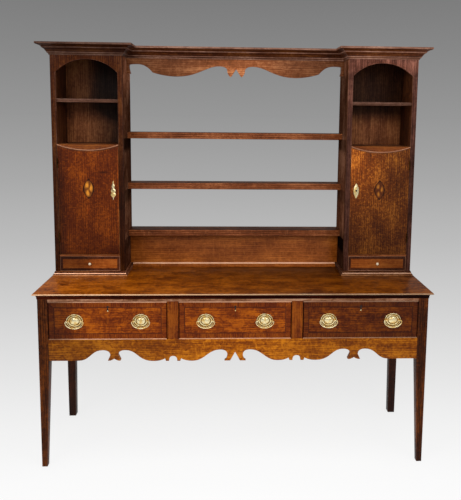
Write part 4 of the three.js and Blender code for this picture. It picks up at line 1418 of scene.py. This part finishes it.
AGEING_AND_SHADE = {
    Side.LEFT: Ageing(
        frame_oak=RACK_OAK, door_oak=DOOR_OAK, inlay=AMBER_SHELL, inlay_glow=1.0,
        lock=Escutcheon(
            x=-637.0, foot_z=1286.0, height=98.0, hole_radius=3.6, hole_share=0.49,
            half_widths=(1.2, 2.0, 2.8, 9.0, 13.5, 12.5, 7.0, 12.0, 12.5, 7.0, 4.0, 7.0, 7.5, 4.5, 2.0, 3.2,
                         1.2)),
        # Painted light and shade on the inner side: brighter low down and much brighter towards its top.
        side_fades=(Fade(0.25, -0.15, 1250.0, 1420.0, 2), Fade(0.0, 1.5, 1780.0, 1950.0, 2)),
        frame_fades=(Fade(-0.35, 0.15, 1300.0, 1950.0, 2),),
        # Painted shadow in the niche: dark under its shelf and towards its right.
        niche_fades=(Fade(0.2, -0.6, 1660.0, 1780.0, 2), Fade(0.4, -0.95, -880.0, -640.0)),
        base_fade=Fade(0.7, 0.7),
        small_fade=Fade(-0.52, 0.05, -800.0, -740.0),
        marks=(Mark(-687.0, 1430.0, 24.0, 4.5, -0.8), Mark(-612.5, 1330.0, 4.0, 260.0, 0.6),
               Mark(-621.0, 1350.0, 3.0, 260.0, -0.4), Mark(-925.0, 1280.0, 42.0, 420.0, -0.6),
               Mark(-740.0, 1470.0, 110.0, 110.0, 0.16), Mark(-660.0, 1180.0, 50.0, 160.0, 0.08),
               Mark(-870.0, 1280.0, 60.0, 120.0, -0.12), Mark(-767.0, 1232.0, 9.0, 12.0, 0.75)),
    ),
    Side.RIGHT: Ageing(
        frame_oak=ROSE_RACK_OAK, door_oak=GOLD_DOOR_OAK, inlay=DARK_SHELL, inlay_glow=0.7,
        lock=Escutcheon(
            x=639.0, foot_z=1299.0, height=78.0, hole_radius=5.0, hole_share=0.52,
            half_widths=(1.5, 6.0, 10.5, 13.0, 14.0, 13.0, 10.5, 6.0, 1.5)),
        # Painted light and shade on the inner side: dark at its foot and under its shelves, bright at its
        # top.
        side_fades=(Fade(-0.5, 0.65, 1040.0, 1150.0, 2), Fade(0.0, -0.35, 1330.0, 1400.0, 2),
                    Fade(0.0, -0.55, 1600.0, 1640.0, 2), Fade(0.0, 1.2, 1920.0, 1990.0, 2)),
        frame_fades=(Fade(-0.15, 0.45, 1400.0, 1750.0, 2), Fade(0.0, 1.6, 1930.0, 2000.0, 2)),
        # Painted shadow at the top of the niche, under its shelf.
        niche_fades=(Fade(0.45, -0.7, 1670.0, 1770.0, 2),),
        base_fade=Fade(-0.1, -0.1),
        small_fade=Fade(-0.22, -0.5, 700.0, 850.0),
        marks=(Mark(640.0, 1490.0, 125.0, 180.0, 1.65), Mark(612.0, 1420.0, 4.0, 150.0, 0.6),
               Mark(690.0, 1258.0, 42.0, 3.2, -0.5), Mark(690.0, 1253.0, 36.0, 2.6, 0.4),
               Mark(782.0, 1240.0, 16.0, 6.0, 0.3), Mark(880.0, 1330.0, 60.0, 160.0, -0.2)),
    ),
}


@dataclass
class Door:
    """A cupboard's door: a veneered board with a scooped top edge, its hinge knuckles, inlay and lock."""

    side: Side
    face_y: float
    rows: int = 190
    columns: int = 78
    edge: float = 6.0
    wear: float = 1.4
    shoulder_height: float = 0.5
    seed: int = 11
    seed_step: int = 4
    foot_gloom: float = 0.75
    gloom_head: float = 0.5

    def node(self, part: str) -> str:
        """A node or a piece of this door's cupboard."""
        return f"cupboard_{self.side.label}_{part}"

    def board(self) -> None:
        """Build the door on a grid: rows climb from its straight foot to its scooped top edge.

        The scoop is the arc through the shoulders and the lowest point of the CAD door, found from
        the corners of its front. At the back the top edge is bevelled, and lies lower.
        """
        node = self.node("door")
        outline = corner_places(frame["nodes"][node].data)
        y, z = outline[:, 1], outline[:, 2]
        foot, head, back_y = z.min(), z.max(), y.max()
        front = outline[(np.abs(y - self.face_y) < NEARBY) & (z > (foot + head) / 2)]
        shoulders = front[front[:, 2] > head - self.shoulder_height][:, 0]
        left, right = shoulders.min(), shoulders.max()
        middle, half = (left + right) / 2, (right - left) / 2
        lowest = front[np.abs(front[:, 0] - middle) < half / 2][:, 2].min()
        dip = head - lowest
        radius = (half ** 2 + dip ** 2) / (2 * dip)
        bevel = head - z[np.abs(y - back_y) < NEARBY].max()
        x = np.linspace(left + self.edge, right - self.edge, self.columns)
        x = np.concatenate([[left], x, [right]])[None, :]
        edge_share = self.edge / (head - foot)
        share = np.linspace(edge_share, 1 - edge_share, self.rows)
        share = np.concatenate([[0.0], share, [1.0]])[:, None]
        top = lowest + radius - np.sqrt(radius ** 2 - (x - middle) ** 2)
        flat = 0 * share * x
        grids = [
            np.stack([x + flat, plane + flat, foot + share * (edge - foot)], axis=-1)
            for plane, edge in ((self.face_y, top), (back_y, top - bevel))
        ]
        woods = [AGEING_AND_SHADE[self.side].door_oak, DOOR_EDGE_OAK, REAR_OAK]
        mesh = new_mesh(node + "_veneered", slab(*grids), woods)
        mesh = soften(mesh, self.wear)
        lay_grain(mesh, Grain.ALONG_Z, self.seed + self.side.value * self.seed_step)
        normals, totals = face_normals(mesh)
        rear = normals[:, 1] > FACING
        kinds = read(mesh.polygons, "material_index")
        kinds[rear & (kinds == 0)] = 2
        mesh.polygons.foreach_set("material_index", kinds)
        places = corner_places(mesh)
        patina = self.patina(places, (places[:, 2] - foot) / (head - foot))
        write_corners(mesh, "patina", np.where(np.repeat(rear, totals), 0.0, patina))
        stand_for(node, mesh, "_oak")
        self.fittings(body_of(node), middle)

    def patina(self, places: np.ndarray, height: np.ndarray) -> np.ndarray:
        """How the polish has faded and darkened over the door.

        Args:
            places: places on the door in millimetres, one for each row.
            height: their heights, from 0 at the foot to 1 at the head.

        Returns:
            Patina: the sum of the marks, less a gloom that grows from the middle down to the foot.
        """
        gloom = self.foot_gloom * np.clip(self.gloom_head - height, 0, 1)
        return summed(AGEING_AND_SHADE[self.side].marks, places) - gloom

    def fittings(self, body: str, middle: float) -> None:
        """Copy all of the CAD door that lies before its face, its hinges, and add its inlay and lock.

        Args:
            body: the door's body.
            middle: middle of the door along X.
        """
        mesh = merged_copy(self.node("door"), [BLACK_BRASS])
        with edited(mesh) as form:
            bmesh.ops.bisect_plane(
                form, geom=[*form.verts, *form.edges, *form.faces], dist=MERGE_DISTANCE * MM,
                plane_co=(0, (self.face_y - NEARBY) * MM, 0), plane_no=(0, 1, 0), clear_outer=True,
            )
            bmesh.ops.holes_fill(form, edges=form.edges, sides=0)
            bmesh.ops.recalc_face_normals(form, faces=form.faces)
        place(mesh, self.node("door_knuckles_brass"), body, "brass")
        age_and_shade = AGEING_AND_SHADE[self.side]
        Shell().make(self.node("door_shell_inlay"), body, middle, self.face_y, age_and_shade.inlay, age_and_shade.inlay_glow)
        age_and_shade.lock.make(self.node("door_lock"), body, self.face_y)


@dataclass
class SmallDrawer:
    """The small drawer under a door: crossbanded front, open box and bone knob.

    Each point of the knob's profile has a share of a radius, the neck's or the head's, and a share
    of the knob's length.
    """

    side: Side
    face_y: float
    front: FramedPanel = FramedPanel(
        thickness=14.0, bead_width=2.5, bead_proud=1.5, band_width=10.0, string_width=2.0)
    # Its beads, upright ones too, are pale wood with a painted highlight.
    finishes: tuple = (SMALL_DRAWER_OAK, WORN_RAIL_BEAD_HIGHLIGHT_OAK, SMALL_BAND_OAK, STRING_OAK, WORN_RAIL_BEAD_HIGHLIGHT_OAK)
    front_seed: int = 71
    box_seed: int = 91
    box_inset: float = 3.0
    box_wall: float = 8.0
    box_bottom: float = 5.0
    knob_radius: float = 7.0
    knob_neck: float = 3.0
    knob_length: float = 15.0
    knob_sides: int = 28
    knob_steps: int = 5
    neck_shares: tuple = ((1.0, 0.0), (1.0, 0.35))
    head_shares: tuple = ((1.0, 0.6), (0.9, 0.85), (0.45, 0.98), (0.0, 1.0))

    def make(self) -> None:
        """Build the front, the box behind it and the knob."""
        node = f"cupboard_{self.side.label}_small_drawer"
        body = body_of(node)
        box = node_box(node)
        seed = self.front_seed + self.side.value
        fade = AGEING_AND_SHADE[self.side].small_fade
        mesh = self.front.mesh(node + "_banded", box, self.face_y, self.finishes, seed, fade)
        stand_for(node, mesh, "_oak")
        mesh = new_mesh(node + "_box", self.open_box(*box), [PALE_OAK])
        lay_grain(mesh, Grain.ALONG_Y, self.box_seed + self.side.value)
        place(mesh, node + "_box", body, "pale_oak")
        neck = np.array(self.neck_shares) * (self.knob_neck, self.knob_length)
        head = np.array(self.head_shares) * (self.knob_radius, self.knob_length)
        profile = smooth_profile([*neck, *head], self.knob_steps)
        x, _, z = box.mean(axis=0)
        knob = turned(profile, self.knob_sides, (x, self.face_y, z))
        place(new_mesh(node + "_knob", knob, [BONE]), node + "_knob", body, "pale_oak")

    def open_box(self, low: np.ndarray, high: np.ndarray) -> tuple:
        """A box open at the top: an outer and an inner shell joined at the rim.

        Args:
            low: lowest corner of the whole drawer.
            high: its highest corner.

        Returns:
            Points and faces.
        """
        inset, wall = self.box_inset, self.box_wall
        front_y = self.face_y + self.front.thickness
        outer = np.array([
            (low[0] + inset, front_y - inset, low[2]), (high[0] - inset, high[1], high[2] - inset),
        ])
        inner = outer + [(wall, wall, self.box_bottom), (-wall, -wall, 0.0)]
        right, back = np.array([[0, 1, 1, 0], [0, 0, 1, 1]])
        return capped_rings([
            np.stack([box[right, 0], box[back, 1], np.full(4, box[level, 2])], axis=-1)
            for box, level in ((outer, 0), (outer, 1), (inner, 1), (inner, 0))
        ])


@dataclass
class Cupboard(Joinery):
    """One cupboard of the rack: the carcase with its arched niche, the door and the small drawer."""

    side: Side = Side.RIGHT
    shelf_wear: float = 1.0
    rail_wear: float = 0.6
    moulding_wear: float = 0.5
    base_bead: tuple = (10.0, 15.0)
    base_fillet: float = 7.5
    behind_frame: float = 1.0
    gloom: Gloom = Gloom()

    def node(self, part: str) -> str:
        """The CAD node of a part of this cupboard."""
        return f"cupboard_{self.side.label}_{part}"

    def make(self) -> None:
        """Dress the boards, polished outside, dark in the niche and dry at the back, and fill the carcase.

        Faces that look towards the middle of the dresser get painted shade, the inner side painted light
        and shade, and the back of the niche a painted shadow under its shelf.
        """
        age_and_shade = AGEING_AND_SHADE[self.side]
        frame_low, frame_high = node_box(self.node("face_frame"))
        middle = (frame_low[0] + frame_high[0]) / 2
        niche_y = frame_high[1] + self.behind_frame
        outwards = self.side.value
        dark = Rule(NICHE_SIDE_OAK, lambda c, n: n[:, 0] * np.sign(middle - c[:, 0]) > FACING)
        shade = Rule(SHADE_OAK, lambda c, n: n[:, 0] * outwards < -FACING)
        rear = Rule(NICHE_OAK, lambda c, n: n[:, 1] > FACING)
        front = Rule(NICHE_OAK, lambda c, n: n[:, 1] < -FACING)
        deep = Rule(NICHE_OAK, lambda c, n: c[:, 1] > niche_y)
        # Painted highlight on the bead of the niche's rail, on all its faces but those that look down.
        bead = Rule(WORN_RAIL_BEAD_HIGHLIGHT_OAK, lambda c, n: (c[:, 1] < frame_low[1]) & (n[:, 2] > -LEVEL))
        shelves = [node_box("shelf_" + name)[0][2] for name in ("upper", "middle", "lower")]
        # The inner side's painted light and shade, with the painted shadow under each shelf.
        inner_light_and_shade = (*age_and_shade.side_fades, *self.gloom.under(shelves))
        self.dress(self.node("outer_side"), RACK_OAK, Grain.ALONG_Z, [dark, shade])
        self.dress(self.node("inner_side"), RACK_OAK, Grain.ALONG_Z, [dark, shade], patina=inner_light_and_shade)
        self.dress(self.node("face_frame"), age_and_shade.frame_oak, Grain.ALONG_Z, [rear, shade], FRAME_EDGE_OAK,
                   patina=age_and_shade.frame_fades)
        # The back of the niche carries a painted shadow under its shelf.
        self.dress(self.node("back"), REAR_OAK, Grain.ALONG_Z, [front], patina=age_and_shade.niche_fades)
        self.base_board(shade)
        self.dress(self.node("floor"), DOOR_RAIL_OAK, Grain.ALONG_X, [deep], wear=self.light_wear)
        self.dress(self.node("niche_floor"), RAIL_OAK, Grain.ALONG_X, [deep, bead], wear=self.rail_wear)
        self.dress(self.node("niche_shelf"), NICHE_SHELF_OAK, Grain.ALONG_X, [deep], RACK_EDGE_OAK,
                   self.shelf_wear)
        for part in ("hinge_upper", "hinge_lower"):
            stand_for(self.node(part), merged_copy(self.node(part), [BLACK_BRASS]), "_brass")
        Door(self.side, frame_low[1]).board()
        SmallDrawer(self.side, frame_low[1]).make()

    def base_board(self, shade: Rule) -> None:
        """Dress the moulded board under the cupboard: a pale bead with a painted highlight over a dark
        step, and a foot whose front faces have a painted highlight.

        Args:
            shade: the rule for faces that look towards the middle of the dresser.
        """
        node = self.node("base_board")
        foot = node_box(node)[0][2]
        low_bead, high_bead = foot + np.array(self.base_bead)

        def on_bead(centres: np.ndarray, normals: np.ndarray) -> np.ndarray:
            """Faces of the round that catch the light, which get a painted highlight."""
            level = (centres[:, 2] > low_bead) & (centres[:, 2] < high_bead)
            return level & (normals[:, 2] < LEVEL) & (normals[:, 1] < LEANING)

        # Painted highlight on the front faces of the foot.
        fillet = Rule(MOULDING_HIGHLIGHT_OAK, lambda c, n: (c[:, 2] - foot < self.base_fillet) & (n[:, 1] < -LEANING))
        self.dress(node, RACK_OAK, Grain.MITRED, [shade, Rule(WORN_BEAD_HIGHLIGHT_OAK, on_bead), fillet],
                   wear=self.moulding_wear, patina=[AGEING_AND_SHADE[self.side].base_fade])


@dataclass
class Rack(Joinery):
    """What joins the cupboards: cornice, frieze board, reeded shelves and the low board at the back.

    The fillets, which get a painted highlight, are shares of the cornice's height, and the crest is
    how far faces of the low board's moulding rise; those faces get a painted highlight.
    """

    moulding_wear: float = 0.6
    fillet_shares: tuple = ((0.0, 0.1), (0.16, 0.24), (0.56, 0.64), (0.84, 1.0))
    crest_rises: tuple = (0.25, 0.97)
    reed_depth: float = 9.0
    cornice_patina: tuple = (Fade(-0.45, 0.3, -600.0, -460.0), Fade(0.0, 0.3, 450.0, 620.0))
    frieze_patina: tuple = (Mark(20.0, 2000.0, 210.0, 500.0, 1.6),)
    low_back_patina: tuple = (Fade(0.0, 0.22, 100.0, 520.0),)

    def make(self) -> None:
        """Dress the boards of the rack, with painted highlights on the cornice and the low board's crest,
        and painted shade on the tops and undersides of the shelves.
        """
        low, high = node_box("cornice")
        height = high[2] - low[2]

        def on_fillet(centres: np.ndarray, normals: np.ndarray) -> np.ndarray:
            """Upright faces of the moulding at the height of one of its fillets, which get a painted
            highlight.

            Args:
                centres: middles of the faces.
                normals: the ways that they look.

            Returns:
                Whether each face is one.
            """
            share = (centres[:, 2] - low[2]) / height
            hit = [(share > start) & (share < end) for start, end in self.fillet_shares]
            return np.logical_or.reduce(hit) & (np.abs(normals[:, 2]) < STANDING)

        fillets = Rule(FILLET_HIGHLIGHT_OAK, on_fillet)
        dusty = Rule(REAR_OAK, lambda c, n: n[:, 2] > LEVEL)
        rear = Rule(REAR_OAK, lambda c, n: n[:, 1] > FACING)
        reeds = node_box("shelf_middle")[0][1] + self.reed_depth
        # Painted shade on the tops and undersides of the shelves, behind their reeds.
        level = Rule(SHELF_SHADE_OAK, lambda c, n: (np.abs(n[:, 2]) > FACING) & (c[:, 1] > reeds))
        least, most = self.crest_rises
        # Painted highlight on the faces of the low board's moulding that look up and forwards.
        crest = Rule(WORN_BEAD_HIGHLIGHT_OAK, lambda c, n: (n[:, 2] > least) & (n[:, 2] < most) & (n[:, 1] < 0))
        # The cornice's fillets and rounded edges get a painted highlight.
        self.dress("cornice", RACK_OAK, Grain.MITRED, [fillets, dusty], FILLET_HIGHLIGHT_OAK, self.moulding_wear,
                   self.cornice_patina)
        self.dress("frieze", FRIEZE_OAK, Grain.ALONG_X, [rear], patina=self.frieze_patina)
        for name in ("upper", "middle", "lower"):
            self.dress("shelf_" + name, SHELF_OAK, Grain.ALONG_X, [level, rear], RACK_EDGE_OAK,
                       self.light_wear)
        self.dress("low_back", LOW_BACK_OAK, Grain.ALONG_X, [rear, crest], wear=self.light_wear,
                   patina=self.low_back_patina)


@dataclass(frozen=True)
class SoftBox:
    """A flat lamp that looks at the middle of the dresser. Sizes in metres, power in watts."""

    place: tuple
    size: tuple
    power: float

    def hang(self, name: str, aim: tuple) -> None:
        """Hang the lamp.

        Args:
            name: its name.
            aim: the place that it looks at.
        """
        data = bpy.data.lights.new(name, "AREA")
        data.shape = "RECTANGLE"
        data.size, data.size_y = self.size
        data.energy = self.power
        lamp = bpy.data.objects.new(name, data)
        lamp.location = self.place
        lamp.rotation_euler = (Vector(aim) - Vector(self.place)).to_track_quat("-Z", "Y").to_euler()
        bpy.context.scene.collection.objects.link(lamp)


@dataclass
class Studio:
    """Camera, floor, sky and soft lamps of the portrait. Places in metres, camera angles in radians."""

    camera_place: tuple = (-0.0345, -2.9177, 1.7357)
    yaw: float = 0.0411
    pitch: float = 0.1113
    roll: float = 0.0104
    focal_pixels: float = 568.39
    image_height: float = 500.0
    axis_above_centre: float = 72.0
    axis_right_of_centre: float = 21.81
    sensor: float = 36.0
    floor_size: float = 400.0
    pool_centre: float = -0.6
    pool_size: float = 3.6
    side_share: float = 0.35
    own_light: float = 0.88
    sky_strength: float = 0.62
    floor_stops: tuple = ((0.0, "#969696"), (0.12, "#a0a0a0"), (0.22, "#a9a9a9"), (0.4, "#bdbdbd"),
                          (0.56, "#d2d2d2"), (0.7, "#e5e5e5"), (0.82, "#f4f4f4"), (0.9, "#fcfcfc"),
                          (1.0, "#ffffff"))
    sky_stops: tuple = ((0.0, "#969696"), (0.1, "#888888"), (0.2, "#7b7b7b"), (1.0, "#686868"))
    aim: tuple = (0.0, 0.0, 1.0)
    lamps: tuple = (
        SoftBox((-2.6, -3.6, 3.4), (2.6, 2.0), 50.0),
        SoftBox((2.8, -3.4, 2.8), (2.4, 2.0), 36.0),
        SoftBox((0.0, -1.2, 4.4), (3.0, 1.6), 30.0),
        SoftBox((0.2, -5.4, 2.4), (3.6, 2.4), 44.0),
    )

    def make(self) -> None:
        """Set up the whole stage."""
        self.camera()
        self.floor()
        self.sky()
        for number, lamp in enumerate(self.lamps):
            lamp.hang(f"soft_box_{number}", self.aim)
        bpy.context.scene.view_settings.view_transform = "Standard"

    def camera(self) -> None:
        """Stand the camera where the portrait was taken, with the lens axis off the picture's middle."""
        level = Vector((math.cos(self.yaw), -math.sin(self.yaw), 0.0))
        ahead = math.cos(self.pitch) * Vector((math.sin(self.yaw), math.cos(self.yaw), 0.0))
        ahead.z = -math.sin(self.pitch)
        upright = level.cross(ahead)
        right = math.cos(self.roll) * level + math.sin(self.roll) * upright
        up = -math.sin(self.roll) * level + math.cos(self.roll) * upright
        turn = Matrix((right, up, -ahead)).transposed()
        data = bpy.data.cameras.new("portrait")
        data.sensor_width = self.sensor
        data.lens = self.focal_pixels / self.image_height * self.sensor
        data.shift_x = -self.axis_right_of_centre / self.image_height
        data.shift_y = -self.axis_above_centre / self.image_height
        camera = bpy.data.objects.new("portrait", data)
        camera.matrix_world = Matrix.Translation(self.camera_place) @ turn.to_4x4()
        bpy.context.scene.collection.objects.link(camera)
        bpy.context.scene.camera = camera

    @staticmethod
    def seen_directly(tree: bpy.types.NodeTree) -> bpy.types.NodeSocket:
        """One for camera, glossy and transmission rays, nought for the rest.

        Args:
            tree: the node tree of a material or a world.

        Returns:
            The socket of that number.
        """
        path = add_node(tree, "LightPath")
        total = path.outputs["Is Camera Ray"]
        for name in ("Is Glossy Ray", "Is Transmission Ray"):
            total = add_node(tree, "Math", {0: total, 1: path.outputs[name]}, operation="MAXIMUM").outputs[0]
        return total

    def floor(self) -> None:
        """Lay a pale floor whose grey deepens away from the dresser, as under a studio sweep.

        Nearness is one over one plus the distance in pool sizes. The farther off, the less the floor
        depends on the lamps, so that it meets the sky without a line.
        """
        corners = np.array([[-1, -1, 0], [1, -1, 0], [1, 1, 0], [-1, 1, 0]]) * self.floor_size
        mesh = bpy.data.meshes.new("studio_floor")
        mesh.from_pydata(corners.tolist(), [], [[0, 1, 2, 3]])
        material, tree, output = new_material("studio_floor_paint")
        moved = add_node(tree, "Mapping", {
            "Vector": add_node(tree, "TexCoord").outputs["Object"],
            "Location": (0.0, -self.pool_centre, 0.0), "Scale": (self.side_share, 1.0, 1.0),
        }).outputs["Vector"]
        distance = add_node(tree, "VectorMath", {0: moved}, operation="LENGTH").outputs["Value"]
        grown = add_node(tree, "Math", {0: distance, 1: 1 / self.pool_size, 2: 1.0}, operation="MULTIPLY_ADD")
        nearness = add_node(tree, "Math", {0: 1.0, 1: grown.outputs[0]}, operation="DIVIDE").outputs[0]
        grey = set_ramp(add_node(tree, "ValToRGB", {"Fac": nearness}), self.floor_stops)
        matt = add_node(tree, "BsdfDiffuse", {"Color": grey})
        own = add_node(tree, "Emission", {"Color": grey})
        lit = add_node(tree, "Math", {0: nearness, 1: self.own_light - 1, 2: 1.0}, operation="MULTIPLY_ADD")
        share = add_node(tree, "Math", {0: self.seen_directly(tree), 1: lit.outputs[0]}, operation="MULTIPLY")
        mix = add_node(tree, "MixShader", {0: share.outputs[0], 1: matt.outputs[0], 2: own.outputs[0]})
        tree.links.new(mix.outputs[0], output.inputs["Surface"])
        mesh.materials.append(material)
        floor = bpy.data.objects.new("studio_floor", mesh)
        bpy.context.scene.collection.objects.link(floor)

    def sky(self) -> None:
        """Light the room evenly, and show a grey that deepens upwards to the camera and in reflections."""
        world = bpy.data.worlds.new("studio")
        bpy.context.scene.world = world
        world.use_nodes = True
        tree = world.node_tree
        tree.nodes.clear()
        direction = add_node(tree, "TexCoord").outputs["Generated"]
        height = add_node(tree, "SeparateXYZ", {0: direction}).outputs["Z"]
        grey = set_ramp(add_node(tree, "ValToRGB", {"Fac": height}), self.sky_stops)
        shown = add_node(tree, "Background", {"Color": grey, "Strength": 1.0})
        light = add_node(tree, "Background", {"Color": (1.0, 1.0, 1.0, 1.0), "Strength": self.sky_strength})
        mix = add_node(tree, "MixShader", {
            0: self.seen_directly(tree), 1: light.outputs[0], 2: shown.outputs[0],
        })
        output = add_node(tree, "OutputWorld")
        tree.links.new(mix.outputs[0], output.inputs["Surface"])


def main() -> None:
    """Build the stage and every sub-assembly in order, each with the number that its boards count from."""
    logging.basicConfig(level=logging.INFO, format="%(name)s: %(message)s")
    Studio().make()
    Base(boards=0).make()
    DrawerRow(boards=40).make()
    for side, boards in ((Side.LEFT, 51), (Side.RIGHT, 69)):
        Cupboard(boards=boards, side=side).make()
    Rack(boards=80).make()


if __name__ == "__main__":
    main()
